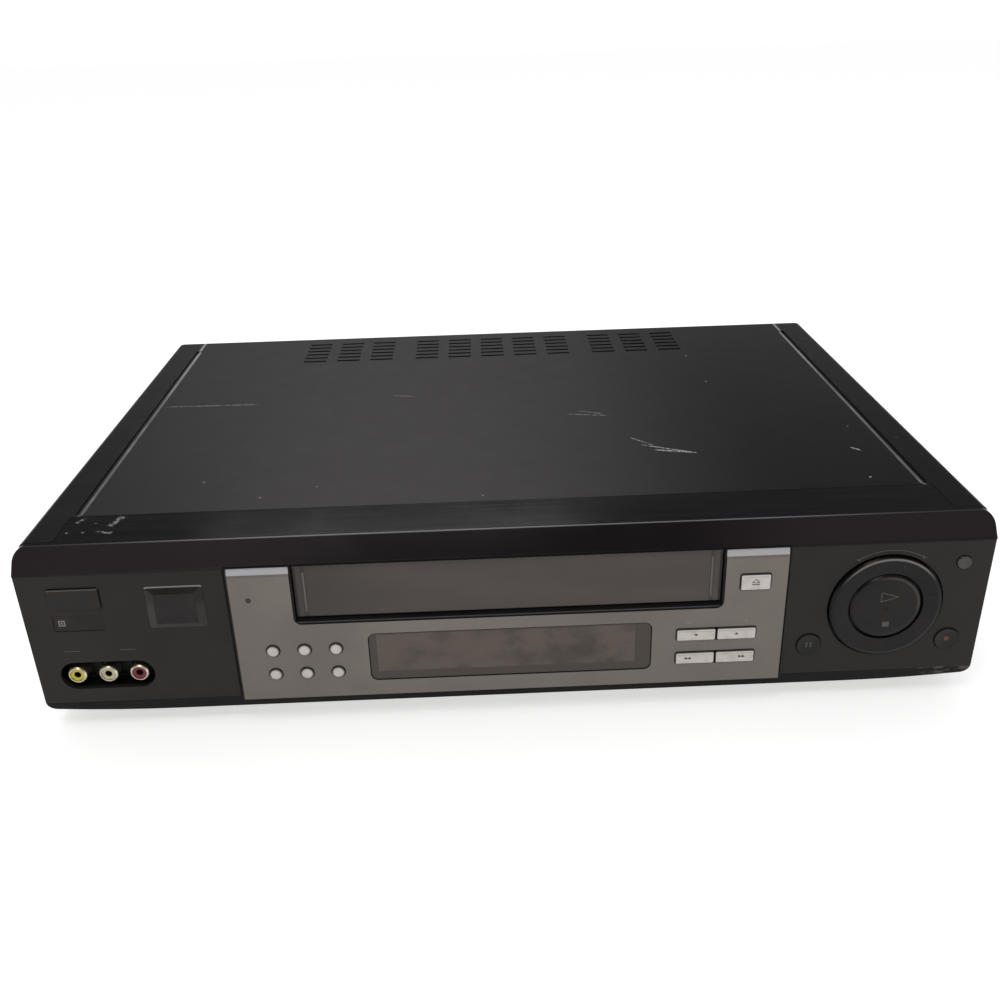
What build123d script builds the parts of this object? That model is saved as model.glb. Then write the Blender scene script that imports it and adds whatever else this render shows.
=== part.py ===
from build123d import *
import math
import os

# VHS video cassette recorder, in millimetres. +Z is up, the front faces -Y and +X is to the
# right seen from the front. The origin is on the table, in the middle of the case's footprint.
# The case is 430 wide, 308 deep to the tips of the rear sockets and 94 high. Those follow from
# the cassette, the tape deck, the front's trim and the control wings on both sides of it.

# ---- Walls, sheets and clearances -------------------------------------------------------------
SHEET = 0.8              # steel of the top cover
FLOOR_SHEET = 1.0        # steel of the chassis tray and the rear panel
DECK_SHEET = 1.5
BASKET_SHEET = 1.0
SLIDE_SHEET = 1.2        # slides and side plates of the carriage
WALL = 2.5               # moulded walls of the front panel
FIT = 0.1                # between pieces that are fixed together
SEAM = 0.3               # open joint that shows outside
RUN_FIT = 0.05           # radial clearance of shafts that turn
SLIDE_FIT = 0.1          # clearance of pins in slots
OVERCUT = 1.0            # a cutting shape runs past the face it opens by this

# ---- Cassette and its slot --------------------------------------------------------------------
CASSETTE = (188.0, 104.0, 25.0)
SLOT_PLAY = 1.0          # room beside the cassette on each side
SURROUND_WALL = 0.8
SURROUND_SET = 0.4       # liner's front edge behind the centre panel's face
SURROUND_DEPTH = 14.0
SURROUND_OVER = 4.0      # top of the bar behind the hinge, above the hinge line
SURROUND_BAR = 1.2
SILL_DROP = 37.7         # top of the sill below the top of the case
SILL_THICK = 2.3
SILL_RAMP = (3.0, 1.2)
SILL_STEP = 0.8          # sill above the basket's floor
BAY_CORNER = 3.5
HINGE_DROP = 11.5
FLAP_SETBACK = 1.0       # flap's face behind the dark face, so that it clears the band
FLAP_THICK = 2.2
FLAP_GAP = 0.4           # beside and below the flap
FLAP_STEP = (1.3, 0.6)   # margin that is set back at each end: width and depth
FLAP_GROOVE = (3.2, 0.7, 0.5)    # from the margin, width and depth
FLAP_GROOVE_END = 3.0
FLAP_ROUND = 0.6
FLAP_RIBS = 4
FLAP_RIB_PITCH = 40.0
FLAP_RIB = (1.2, 0.8)
FLAP_RIB_END = 4.0
TRUNNION = 0.65          # radius of the flap's trunnions

# ---- Front panel ------------------------------------------------------------------------------
PANEL_LIMB = 27.7        # centre panel beside the slot
WING = 91.5              # dark wing on each side of the centre panel
FACE_LEAD = 7.5          # dark face ahead of the top front edge
BAND_DROP = 10.65        # height of the slanted band under the top edge
BAND_STEP = 0.5          # band's lower edge ahead of the dark face
LIP = 1.5                # band's wall in front of the cassette bay
CHIN_UP = 0.8            # lower edge of the chin above the tray's underside
CHIN_HEIGHT = 8.1
CHIN_TUCK = 3.5          # chin's lower edge behind the dark face
CHIN_CURVE = 60.0        # length over which the chin rises at each end
CHIN_LIFT = 3.3
SIDE_DRAFT = 1.3         # flank leans in by this at the foot
TOP_CORNER = 5.5
FOOT_CORNER = 4.0
EDGE_ROUND = 0.8         # top front edge
RIM = 3.0                # moulding behind the top edge, beside the strip
STRIP_DEPTH = 28.0       # moulded strip on top, from the edge to the seam
STRIP_IN = 16.5          # end of the strip inboard of the flank
TONGUE = 5.5             # lip under the cover
TONGUE_WALL = 1.8
POCKET = 1.5             # recess that the centre panel sits in
POST_R = 3.0             # posts that the front board is screwed to
LOW_POST = (65.0, 11.2)  # inboard of the flank, above the chin's edge
HIGH_POST = (5.0, 20.0)  # outboard of the centre panel, below the top
GUSSETS = 12             # stiffeners in the corner of the chin
GUSSET_PITCH = 34.0
GUSSET = (1.2, 6.5, 7.0)

# ---- Centre panel -----------------------------------------------------------------------------
PANEL_PROUD = 1.0
PANEL_UP = 6.2           # foot of the panel above the chin's edge
PANEL_BEVEL = (1.3, 4.5) # depth and height of the bevel along its top
KEY_ROOM = 2.9           # opening behind the panel, round each key
WINDOW = (58.65, 128.2, 25.1)    # drop, width and height
WINDOW_CORNER = 3.5
WINDOW_SET = 0.4         # window's face behind the centre panel's face
WINDOW_LEDGE = 2.5
WINDOW_BEVEL = 0.3
TUBE = (114.0, 19.0)     # display behind the window
TUBE_SETBACK = 4.0       # behind the panel's wall
TUBE_BEVEL = 1.2
TUBE_TIP = (1.6, 4.0, 3.5)       # pump stub: radius, length, ahead of the board
LED = (8.8, 26.6)        # inboard of the panel's edge, drop
LED_R = 1.15
LED_COLLAR = (0.9, 1.0)
EJECT = (14.2, 27.05, 13.6, 8.1)         # inboard, drop, width, height
KEY_COLUMNS = (16.6, 30.75, 44.9)        # inboard of the panel's edge
KEY_DROPS = (53.2, 65.6)
ROUND_KEY_R = 3.0
PAIR = (30.3, 36.2, 6.2)         # split key: inboard, length and height
PAIR_DROPS = (53.3, 65.7)
SPLIT = 0.4

# ---- Controls in the wings: first value is inboard of the flank, unless it says otherwise -----------
POWER = (24.4, 22.85, 22.8, 10.3)
SENSOR = (24.5, 35.3, 22.6, 8.2)
SENSOR_SET = 0.3         # pane behind the dark face
TAG_PAD = (68.15, 28.85, 25.5, 21.1)
TAG_PAD_FACE = (17.5, 14.8)
TAG_PAD_PROUD = 1.8
REAR_RIM = (1.2, 1.0)    # rim behind the wall that holds a pane or pad: overhang, thickness
JACK_RECESS = (32.2, 63.0, 42.4, 14.2)
JACK_RECESS_DEPTH = 8.6
JACK_RECESS_WALL = 1.2
JACK_WELL = (10.6, 11.0, 1.2)
JACK_WELL_UP = 0.4
JACK_SET = 0.3           # tips of the front sockets behind the dark face
JOG = (13.0, 21.9)
JOG_R = 3.25
PAUSE = (-32.85, 61.9)   # from the dial's middle
RECORD = (30.75, 61.7)   # from the dial's middle
DISC_KEY_R = 5.6
KEY_GAP = 0.3            # around and behind a button
KEY_TRAVEL = 1.0
KEY_PROUD = 0.8
KEY_FLANGE = 1.1         # retaining rim's overhang and thickness
KEY_STEM_R = 1.6
KEY_CORNER = 1.2
KEY_ROUND = 0.5
DISH = (22.0, 0.7)       # hollow in the face of the disc keys: radius and depth

# ---- Shuttle dial, in the middle of the right wing ----------------------------------------------
DIAL_DROP = 42.7
DIAL_PROUD = 2.0
DIAL_GAP = 0.8           # opening in the panel round the ring
RING_R = 25.4
RING_CAP = 3.7           # thickness of the ring's cap
RING_ROLL = 2.0          # rolled outer edge
RING_DISH = 0.9          # fall of the cap towards the disc
RING_FLANGE = (1.0, 2.0) # overhang and thickness behind the wall
DISC_R = 16.2
DISC_GAP = 0.7           # ring's bore round the disc
DISC_CAP = 2.4
DISC_DOME = 0.6
DISC_STEM_R = 11.6
DISC_STEM_WALL = 1.6
DISC_STEM_DEPTH = 7.0
ROCK_DEPTH = 4.0         # rocking axis behind the dark face
ROCK_PIN_R = 1.0
HUB_GAP = 0.8            # fixed tube's bore round the disc's stem
HUB_WALL = 1.5           # fixed tube that the ring turns on
HUB_SET = 0.2
ENCODER_R = 24.0
ENCODER_DEPTH = 6.0
ENCODER_BEVEL = 1.5

# ---- Phono sockets ----------------------------------------------------------------------------
JACK_PITCH = 14.0
SLEEVE_R = 4.15
SLEEVE_BORE_R = 3.35
SLEEVE_BEVEL = 0.5
ROOT_R = 3.85            # sleeve's root in its block
ROOT_DEPTH = 2.0
INSERT_SET = 0.6
INSERT_DEPTH = 7.6
PIN_HOLE_R = 1.6
REAR_SOCKET = 10.2       # reach of the rear sockets behind the rear panel
REAR_JACK_OUT = 23.5     # middle column, outboard of the deck
REAR_JACK_UP = (20.4, 36.4)      # rows above the main board
JACK_BLOCK_EDGE = 5.0    # block past the outer sockets
JACK_BLOCK = (8.0, 14.0, 5.0)    # above the top row, depth, bevel

# ---- Boards -----------------------------------------------------------------------------------
BOARD = 1.6
BOARD_IN = 15.0          # front board behind the dark face
FRONT_BOARD_EDGE = (9.0, 4.5, 12.0)      # from the flank, above the chin's edge, below the top
FRONT_BOARD_NOTCH = (4.0, 3.0)   # round the cassette bay: beside and below it
SWITCH_BODY = (6.0, 3.4) # tactile switch: square body, height
SWITCH_TIP = (3.0, 0.8)
RECEIVER = (10.0, 7.0, 2.0)      # width, height, gap behind the wall
FRONT_CHIPS = ((-40.0, 9.0, 40.0, 10.0, 4.0), (41.0, 21.0, 22.0, 22.0, 3.0))
BOARD_UP = 5.0           # main and power boards above the tray's floor
BOARD_GAP = 4.0          # between a board and the deck
BOARD_EDGE = 6.0         # between a board and the tray's flank
BOARD_REAR = 12.5        # between a board and the rear panel
MAIN_BOARD_FRONT = 24.0  # behind the tray's front edge
# chips are (from the board's inner edge, from its front edge, width, depth)
MAIN_CHIPS = ((14.0, 57.0, 18.0, 18.0), (48.0, 77.0, 26.0, 12.0), (16.0, 117.0, 14.0, 30.0),
              (70.0, 127.0, 16.0, 16.0), (38.0, 167.0, 30.0, 12.0))
CHIP_HEIGHT = 3.2
# capacitors are (from the inner edge, from the front edge, radius, height)
MAIN_CANS = ((70.0, 57.0, 5.0, 14.0), (82.0, 67.0, 4.0, 11.0), (38.0, 27.0, 5.0, 16.0),
             (80.0, 167.0, 4.0, 11.0))
POWER_BOARD_DEPTH = 128.0
TRANSFORMER_IN = (38.0, 32.0)    # middle from the board's inner and rear edges
CORE = (44.0, 36.0, 38.0)
COIL = (28.0, 50.0, 24.0)
SINK = (12.0, 84.0, 72.0, 3.0, 42.0)     # from inner and rear edges, length, thickness, height
SINK_FINS = 8
SINK_FIN = (2.0, 11.0)
POWER_CANS = ((78.0, 9.0, 30.0), (54.0, 8.0, 25.0), (34.0, 6.0, 20.0))
POWER_CANS_ROW = 108.0   # from the rear edge

# ---- Case -------------------------------------------------------------------------------------
FOOT_HEIGHT = 8.0
FOOT_RADIUS = 11.0
FOOT_BEVEL = 1.0
FOOT_IN = 47.0           # inboard of the flank
FOOT_FRONT = 34.0        # foot centre behind the front edge of the floor
FOOT_REAR = 32.0         # foot centre ahead of the rear panel
FLUSH_INSET = 1.0        # cover flank inboard of the front panel's flank
BEND = 3.0               # outside bend of the cover's long edges
PLAN_CORNER = 5.0        # rear corners of the cover, seen from above
COVER_UP = 1.6           # lower edge of the cover above the tray's underside
COVER_NOTCH = 4.0        # depth of the notch round the moulded strip
REAR_RECESS = 8.0        # rear panel inside the cover's rear edge
REAR_FLANGE = 6.0        # flanges of the rear panel
TRAY_WALL = 24.0
STANDOFF_R = 3.0
STANDOFF_IN = 5.0        # from a board's edge
STANDOFF_REAR = (9.5, 119.5)     # from the board's rear edge
STANDOFF_FRONT = 8.0     # from the main board's front edge
DECK_POST_R = 4.0
DECK_POST_IN = (12.0, 8.0)
TRAY_VENT = (40.0, 3.0)
TRAY_VENT_IN = 54.0      # middle of the slots inboard of the flank
TRAY_VENT_FRONT = 101.0  # first slot behind the tray's front edge
TRAY_VENT_ROWS = 9
TRAY_VENT_PITCH = 8.0
SCREW_R = 1.6
SCREW_HEAD = (3.6, 0.9)
SCREW_LENGTH = 6.0
SCREW_CROSS = (4.0, 0.8, 0.6)    # recess in the head: length, width, depth
SCREW_UP = 16.0          # above the chassis floor
SCREW_FRONT = 80.0       # behind the front panel's rim
SCREW_REAR = 52.0        # ahead of the rear panel
VENT_SLOT = (14.5, 2.6)
VENT_PITCH = 21.3        # between groups of one set
VENT_SET_STEP = 29.4     # from the middle set to the next
VENT_ROWS = 6
VENT_ROW_PITCH = 7.2
VENT_BACK = 13.0         # last row ahead of the cover's rear edge
GROOVE_IN = 18.5         # pressed groove inboard of the cover's flank
GROOVE_WIDTH = 4.4
GROOVE_DEPTH = 0.9
GROOVE_END = 16.0        # end of the groove ahead of the cover's rear edge
REAR_VENT = (3.0, 28.0)
REAR_VENT_IN = 65.0      # first slot inboard of the left flank
REAR_VENT_DROP = 36.0
REAR_VENT_COLUMNS = 12
REAR_VENT_PITCH = 9.0
ANTENNA_IN = 26.0        # inboard of the flank
ANTENNA_UP = (16.4, 38.4)        # above the main board
ANTENNA_R = 4.7
ANTENNA_LENGTH = 9.0
ANTENNA_NUT = (7.0, 2.0)
ANTENNA_PIN_R = 1.2
TUNER = (34.0, 32.0, 52.0)
SELECTOR = (11.0, 4.0, 12.4)     # channel switch: body width, slot height, above the board
SELECTOR_SLOT = 10.0
SELECTOR_OUT = 1.6
SELECTOR_TRAVEL = 5.0
SELECTOR_FIT = 0.2
GLAND = (29.0, 17.0)     # inboard of the flank, above the floor
GLAND_RIM = (8.0, 3.0)
GLAND_NECK_R = 5.4
GLAND_LUG = (1.2, 6.0)
CORD_R = 3.3

# ---- Tape deck: places are (across, back) from the middle of the reels ------------------------------
UNDER_DECK = 15.9        # room between the tray's floor and the deck
BASKET_CLEAR = 1.5       # basket behind the open flap
BASKET_LEDGE = 22.0      # floor ledge under each end of the cassette
CASSETTE_PLAY = 0.6
BASKET_OPENING = (120.0, 62.0, 6.0)
BASKET_OPENING_BACK = 8.0
BASKET_STOP = (12.0, 6.5)
LOAD_TRAVEL = 62.0
DROP_TRAVEL = 22.0
CASSETTE_REELS = 3.0     # reels ahead of the cassette's middle
DECK_FRONT = 48.0        # deck's front edge behind the dark face
DECK_CORNER = 6.0
DECK_APRON = (8.0, 6.0)  # turned-down front edge: in from the ends, height
DECK_WINDOW = (24.0, 20.0)
DECK_WINDOW_AT = (80.0, 30.0)
REEL_PITCH = 92.3
REEL_R = 22.0
REEL_SHAFT_R = 2.5
REEL_SHAFT = 17.0
REEL_CLEAR = 0.8         # lowered basket over the reel tables
REEL_TABLE_H = 6.0
REEL_TEETH = 44
REEL_TOOTH = (0.9, 3.4)  # height of a tooth, length along the axis
REEL_RING = (5.0, 1.5)    # ring round the dished top: width, depth of the dish
REEL_HUB_R = 8.5
REEL_BEVEL = 1.0
REEL_SPINDLE_R = 6.0
REEL_SPINDLE = 10.5
REEL_WINGS = 3
REEL_WING = (4.0, 1.6, 8.0)
DRUM_R = 31.0
DRUM_TILT = 5.97         # degrees, leaning to +X
DRUM_BEHIND_REELS = 103.0
DRUM_UP = 24.0           # level where the two halves of the drum meet, above the deck
DRUM_LOWER = 17.0
DRUM_LEDGE = (1.2, 2.0)
DRUM_UPPER = 17.0
DRUM_HUB = (11.0, 4.5)
DRUM_AIR = (6.0, 2.5)    # rim beside the dish in the drum's top: width, depth
DRUM_SPLIT = 0.2
DRUM_BEVEL = 1.0
DRUM_SHAFT_R = 3.0
DRUM_SHAFT = 11.0
DRUM_BASE = (50.0, 44.0, 8.0)
HEAD_WINDOW = (4.0, 5.0, 3.0)
HEAD_WINDOWS = 4
DECK_PAST_DRUM = 9.1
DECK_BEHIND = 10.8       # between the deck and the rear panel
CAPSTAN = (62.0, 65.0)
CAPSTAN_R = 1.5
CAPSTAN_UP = 32.0
CAPSTAN_BUSH = (5.0, 9.0, 3.0)   # radius, above and below the deck
FLYWHEEL_R = 24.0
FLYWHEEL_H = 5.0
FLYWHEEL_RIM = 4.0
FLYWHEEL_WEB = 1.5
PINCH_PIVOT = (90.0, 73.0)
PINCH_CONTACT = 60.0     # degrees round the capstan
PINCH_R = 7.0
PINCH_H = 13.5
PINCH_BEVEL = 0.6
PINCH_SWING = 35.0       # degrees
PINCH_ARM_UP = 11.0
PINCH_ARM = 2.5
PIVOT_R = 2.0
PIVOT_UP = 17.0
ARM_EYE_R = 5.0
ARM_END_R = 4.0
ARM_WIDTH = 6.0
ARM_PIN_R = 1.5
GUIDE_START = (33.0, 51.0)
GUIDE_END = (52.0, 119.0)
GUIDE_SLOT = 4.0
GUIDE_TENON = 8.0
GUIDE_BASE = (13.0, 10.0, 4.0)
GUIDE_CORNER = 2.0
GUIDE_POST = (3.0, 24.0)
GUIDE_FLANGE = (4.2, 2.0)
GUIDE_LEAN = 9.0         # degrees
GUIDE_LEAN_POST = (1.2, 19.0, 5.0)
IDLER_REACH = 31.0
IDLER_R = 9.3
IDLER_TEETH = 24
IDLER_H = 3.5
IDLER_ARM = 1.6
# heads are (across, back, width, depth): the sound and control head, then the erase head
HEADS = ((61.5, 105.0, 11.0, 9.0), (-61.0, 92.0, 9.0, 10.0))
HEAD_FOOT = (11.0, 9.0, 2.0)
HEAD_STEM = 4.0
HEAD_LEVELS = (9.0, 24.0)
HEAD_ROUND = 2.0
SLIDER_GAP = 3.0         # slides outboard of the basket
CARRIAGE_GAP = 2.0       # side plates outboard of the slides
CARRIAGE_UP = 4.9        # bridge above the basket
CARRIAGE_ENDS = (2.0, 6.0)       # side plates past the basket's travel, front and back
CARRIAGE_BEVEL = (8.0, 14.0)
CARRIAGE_STEP = (60.0, 40.0, 10.0)
CARRIAGE_FOOT = 5.5
BRIDGE = (22.0, 38.0)    # behind the plates' front edge, depth
BRIDGE_HOLE = (36.0, 22.0)
BRIDGE_HOLE_PITCH = 60.0
DECK_EDGE = 6.5          # deck outboard of the carriage
SLIDER_PIN_R = 1.5
SLIDER_HEAD = (1.2, 1.0)
BASKET_PINS = (42.0, 72.0)       # behind the basket's front edge
BASKET_PIN_UP = 4.5
SLIDER_STUDS = (30.0, 84.0)
SLIDER_STUD_UP = 4.0     # above the pins
SLIDER_EDGE = (6.0, 5.0, 6.0)    # beyond the studs, below the slots, above the studs
SLIDER_CORNER = 4.0

# ---- Levels worked out from the sizes ---------------------------------------------------------
# across: from the cassette out to the flanks
slot_half = CASSETTE[0] / 2 + SLOT_PLAY
bay_half = slot_half + SURROUND_WALL
panel_half = bay_half + PANEL_LIMB
half = panel_half + WING
cover_half = half - FLUSH_INSET
tray_half = cover_half - SHEET - SEAM
strip_half = half - STRIP_IN
basket_in_half = CASSETTE[0] / 2 + CASSETTE_PLAY / 2
basket_half = basket_in_half + BASKET_SHEET
slider_half = basket_half + SLIDER_GAP
carriage_half = slider_half + SLIDE_SHEET + CARRIAGE_GAP
deck_half = carriage_half + DECK_EDGE

# up: from the feet through the tape deck to the top
floor_z = FOOT_HEIGHT + FLOOR_SHEET
deck_z = floor_z + UNDER_DECK + DECK_SHEET
basket_floor_z = deck_z + SEAM + REEL_TABLE_H + REEL_CLEAR + DROP_TRAVEL
basket_top_z = basket_floor_z + BASKET_SHEET + CASSETTE[2] + CASSETTE_PLAY
sill_z = basket_floor_z + SILL_STEP
height = sill_z + SILL_DROP
bay_z = sill_z - SILL_THICK
hinge_z = height - HINGE_DROP
band_z = height - BAND_DROP
chin_z = FOOT_HEIGHT + CHIN_UP
field_z = chin_z + CHIN_HEIGHT
panel_foot_z = chin_z + PANEL_UP
cover_z = FOOT_HEIGHT + COVER_UP
board_z = floor_z + BOARD_UP
board_top_z = board_z + BOARD
drum_z = deck_z + DRUM_UP
pin_z = basket_floor_z + BASKET_PIN_UP
stud_z = pin_z + SLIDER_STUD_UP

# back: depths behind the dark face, then levels with the origin in the middle
flap_length = hinge_z - sill_z - FLAP_GAP
basket_in = FLAP_SETBACK + FLAP_THICK / 2 + flap_length + BASKET_CLEAR
basket_depth = CASSETTE[1] + BASKET_SHEET
reels_in = basket_in + basket_depth / 2 + LOAD_TRAVEL - CASSETTE_REELS
drum_in = reels_in + DRUM_BEHIND_REELS
deck_back_in = drum_in + DRUM_R + DECK_PAST_DRUM
depth = DIAL_PROUD + deck_back_in + DECK_BEHIND + FLOOR_SHEET + REAR_SOCKET
face_y = -depth / 2 + DIAL_PROUD
dial_y = face_y - DIAL_PROUD
panel_y = face_y - PANEL_PROUD
pocket_y = face_y + POCKET
wall_y = face_y + WALL
edge_y = face_y + FACE_LEAD
rim_y = edge_y + RIM
strip_y = edge_y + STRIP_DEPTH
board_y = face_y + BOARD_IN
flap_y = face_y + FLAP_SETBACK
hinge_y = flap_y + FLAP_THICK / 2
rock_y = face_y + ROCK_DEPTH
basket_front_y = face_y + basket_in
basket_back_y = basket_front_y + basket_depth
deck_front_y = face_y + DECK_FRONT
deck_back_y = face_y + deck_back_in
reel_y = face_y + reels_in
drum_y = face_y + drum_in
rear_y = depth / 2 - REAR_SOCKET
rear_in_y = rear_y - FLOOR_SHEET
cover_back_y = rear_y + REAR_RECESS
tray_front_y = rim_y + SEAM
band_slope = (FACE_LEAD + BAND_STEP) / BAND_DROP
lip_y = face_y - BAND_STEP + LIP
basket_pins = [basket_front_y + back for back in BASKET_PINS]
slider_studs = [basket_front_y + back for back in SLIDER_STUDS]

# dial: radii that follow the ring, the disc and its stem
dial_hole_r = RING_R + DIAL_GAP
ring_bore_r = DISC_R + DISC_GAP
hub_bore_r = DISC_STEM_R + HUB_GAP
hub_r = hub_bore_r + HUB_WALL


def drop(distance):
    """Level that lies this far below the top of the case."""
    return height - distance


def from_flank(side, spec):
    """Place of a control given inboard of the case's flank: x, drop and any sizes."""
    return (side * (half - spec[0]), *spec[1:])


def from_panel(side, spec):
    """Place of a control given inboard of the centre panel's edge: x, drop and any sizes."""
    return (side * (panel_half - spec[0]), *spec[1:])


def block(x0, x1, y0, y1, z0, z1):
    """Rectangular solid between two corners."""
    centre = Pos((x0 + x1) / 2, (y0 + y1) / 2, (z0 + z1) / 2)
    return centre * Box(abs(x1 - x0), y1 - y0, z1 - z0)


def front_prism(sketch, y_front, y_back):
    """Extrude a shape drawn in x and z between two depths."""
    return extrude(Plane.XZ.offset(-y_back) * sketch, amount=y_back - y_front, dir=(0, -1, 0))


def side_prism(sketch, x0, x1):
    """Extrude a shape drawn in y and z between two stations across the case."""
    low, high = min(x0, x1), max(x0, x1)
    return extrude(Plane.YZ.offset(low) * sketch, amount=high - low, dir=(1, 0, 0))


def top_prism(sketch, z0, z1):
    """Extrude a shape drawn in x and y between two levels."""
    return extrude(Plane.XY.offset(z0) * sketch, amount=z1 - z0, dir=(0, 0, 1))


def outline(*points):
    """Flat polygon through points given in its own plane."""
    return Polygon(*points, align=None)


def window(x0, x1, z0, z1, corner=0.0):
    """Rectangle in x and z, with rounded corners where asked."""
    place = Pos((x0 + x1) / 2, (z0 + z1) / 2)
    if corner:
        return place * RectangleRounded(x1 - x0, z1 - z0, corner)
    return place * Rectangle(x1 - x0, z1 - z0)


def placed(spec, grow=0.0, corner=0.0):
    """Rectangle of a control: spec is x, drop, width, height."""
    x, down, wide, high = spec
    if corner:
        shape = RectangleRounded(wide + 2 * grow, high + 2 * grow, corner + max(grow, 0.0))
    else:
        shape = Rectangle(wide + 2 * grow, high + 2 * grow)
    return Pos(x, drop(down)) * shape


def dot(spec, radius):
    """Circle of a control: spec starts with x and drop."""
    return Pos(spec[0], drop(spec[1])) * Circle(radius)


def rod(x, z, radius, y_front, y_back):
    """Round bar along Y."""
    return front_prism(Pos(x, z) * Circle(radius), y_front, y_back)


def post(x, y, radius, z0, z1):
    """Round bar along Z."""
    return top_prism(Pos(x, y) * Circle(radius), z0, z1)


def across(y, z, radius, x0, x1):
    """Round bar along X."""
    return side_prism(Pos(y, z) * Circle(radius), x0, x1)


# ---- Where the controls and sockets stand --------------------------------------------------------
power = from_flank(-1, POWER)
sensor = from_flank(-1, SENSOR)
jack_recess = from_flank(-1, JACK_RECESS)
jog = from_flank(1, JOG)
tag_pad = from_flank(-1, TAG_PAD)
dial = (panel_half + WING / 2, DIAL_DROP)
pause = (dial[0] + PAUSE[0], PAUSE[1])
record = (dial[0] + RECORD[0], RECORD[1])
display = (0.0, *WINDOW)
led = from_panel(-1, LED)
eject = from_panel(1, EJECT)
pair_x = panel_half - PAIR[0]


def split_key(side, down):
    """One half of a split key: x, drop, width and height."""
    length = PAIR[1] / 2 - SPLIT / 2
    return (pair_x + side * (PAIR[1] / 4 + SPLIT / 4), down, length, PAIR[2])


flat_keys = {
    "power_button": power,
    "eject_button": eject,
    "channel_down_button": split_key(-1, PAIR_DROPS[0]),
    "channel_up_button": split_key(1, PAIR_DROPS[0]),
    "rewind_button": split_key(-1, PAIR_DROPS[1]),
    "fast_forward_button": split_key(1, PAIR_DROPS[1]),
}
round_keys = {
    "pause_button": (pause, DISC_KEY_R),
    "record_button": (record, DISC_KEY_R),
    "jog_button": (jog, JOG_R),
}
key_columns = [-panel_half + inboard for inboard in KEY_COLUMNS]
for row, down in zip(("upper", "lower"), KEY_DROPS):
    for column, x in zip(("left", "middle", "right"), key_columns):
        round_keys[f"{row}_{column}_key"] = ((x, down), ROUND_KEY_R)
key_places = [spec[:2] for spec in flat_keys.values()] + [spec for spec, _ in round_keys.values()]

antenna_x = half - ANTENNA_IN
antenna_levels = [board_top_z + up for up in ANTENNA_UP]
selector_x = antenna_x - TUNER[0] / 2 - 1.0 - SELECTOR[0] / 2
selector_z = board_top_z + SELECTOR[2]
gland = (-half + GLAND[0], floor_z + GLAND[1])
front_jacks = [(jack_recess[0] + step * JACK_PITCH, drop(jack_recess[1])) for step in (-1, 0, 1)]
rear_jack_x = deck_half + REAR_JACK_OUT
rear_jacks = [(rear_jack_x + step * JACK_PITCH, board_top_z + up)
              for up in REAR_JACK_UP for step in (-1, 0, 1)]
front_tip_y = face_y + JACK_SET
well_y = face_y + JACK_RECESS_DEPTH + JACK_WELL[2]
side_screws = [(side * cover_half, y, floor_z + SCREW_UP)
               for side in (-1, 1) for y in (rim_y + SCREW_FRONT, rear_y - SCREW_REAR)]


# ---- Front panel --------------------------------------------------------------------------------
def panel_outline():
    """Front view of the moulding: leaning flanks and a chin that rises at both ends."""
    foot = half - SIDE_DRAFT
    flat = half - CHIN_CURVE
    lifted = chin_z + CHIN_LIFT
    edges = [
        Line((-flat, chin_z), (flat, chin_z)),
        TangentArc((flat, chin_z), (foot, lifted), tangent=(1, 0)),
        Line((foot, lifted), (half, height)),
        Line((half, height), (-half, height)),
        Line((-half, height), (-foot, lifted)),
        TangentArc((-flat, chin_z), (-foot, lifted), tangent=(-1, 0)),
    ]
    sketch = Sketch() + make_face(edges)
    upper = [v for v in sketch.vertices() if v.Y > height - OVERCUT]
    sketch = fillet(upper, TOP_CORNER)
    lower = [v for v in sketch.vertices() if abs(abs(v.X) - foot) < FIT and v.Y < lifted + FIT]
    return fillet(lower, FOOT_CORNER)


def panel_section(back, step):
    """Side view of the moulding: slanted band, upright face and tucked chin."""
    return outline(
        (back, height), (edge_y, height), (face_y - step, band_z), (face_y, band_z - 0.01),
        (face_y, field_z), (face_y + CHIN_TUCK, chin_z), (back, chin_z),
    )


def panel_lip():
    """Lip that the cover slides over, and the strip on top with its ledge."""
    lip_half = cover_half - SHEET - FIT
    lip_z = height - SHEET - FIT
    lip_foot = chin_z + WALL
    lip = window(-lip_half, lip_half, lip_foot, lip_z)
    lip = fillet(lip.vertices().group_by(Axis.Y)[-1], BEND)
    lip -= window(-lip_half + TONGUE_WALL, lip_half - TONGUE_WALL, lip_foot, lip_z - TONGUE_WALL)
    body = front_prism(lip, edge_y, rim_y + TONGUE)
    body += block(-strip_half, strip_half, edge_y, strip_y, height - WALL, height)
    ledge_half = strip_half + TONGUE
    ledge = block(-ledge_half, ledge_half, rim_y, strip_y + TONGUE, lip_z - TONGUE_WALL, lip_z)
    # notches in the ledge for the beads of the cover's grooves
    notch = GROOVE_WIDTH / 2 + SHEET + FIT
    for side in (-1, 1):
        x = side * (cover_half - GROOVE_IN)
        ledge -= block(x - notch, x + notch, strip_y, strip_y + TONGUE + OVERCUT,
                       lip_z - GROOVE_DEPTH - FIT, lip_z + OVERCUT)
    return body + ledge


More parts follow.
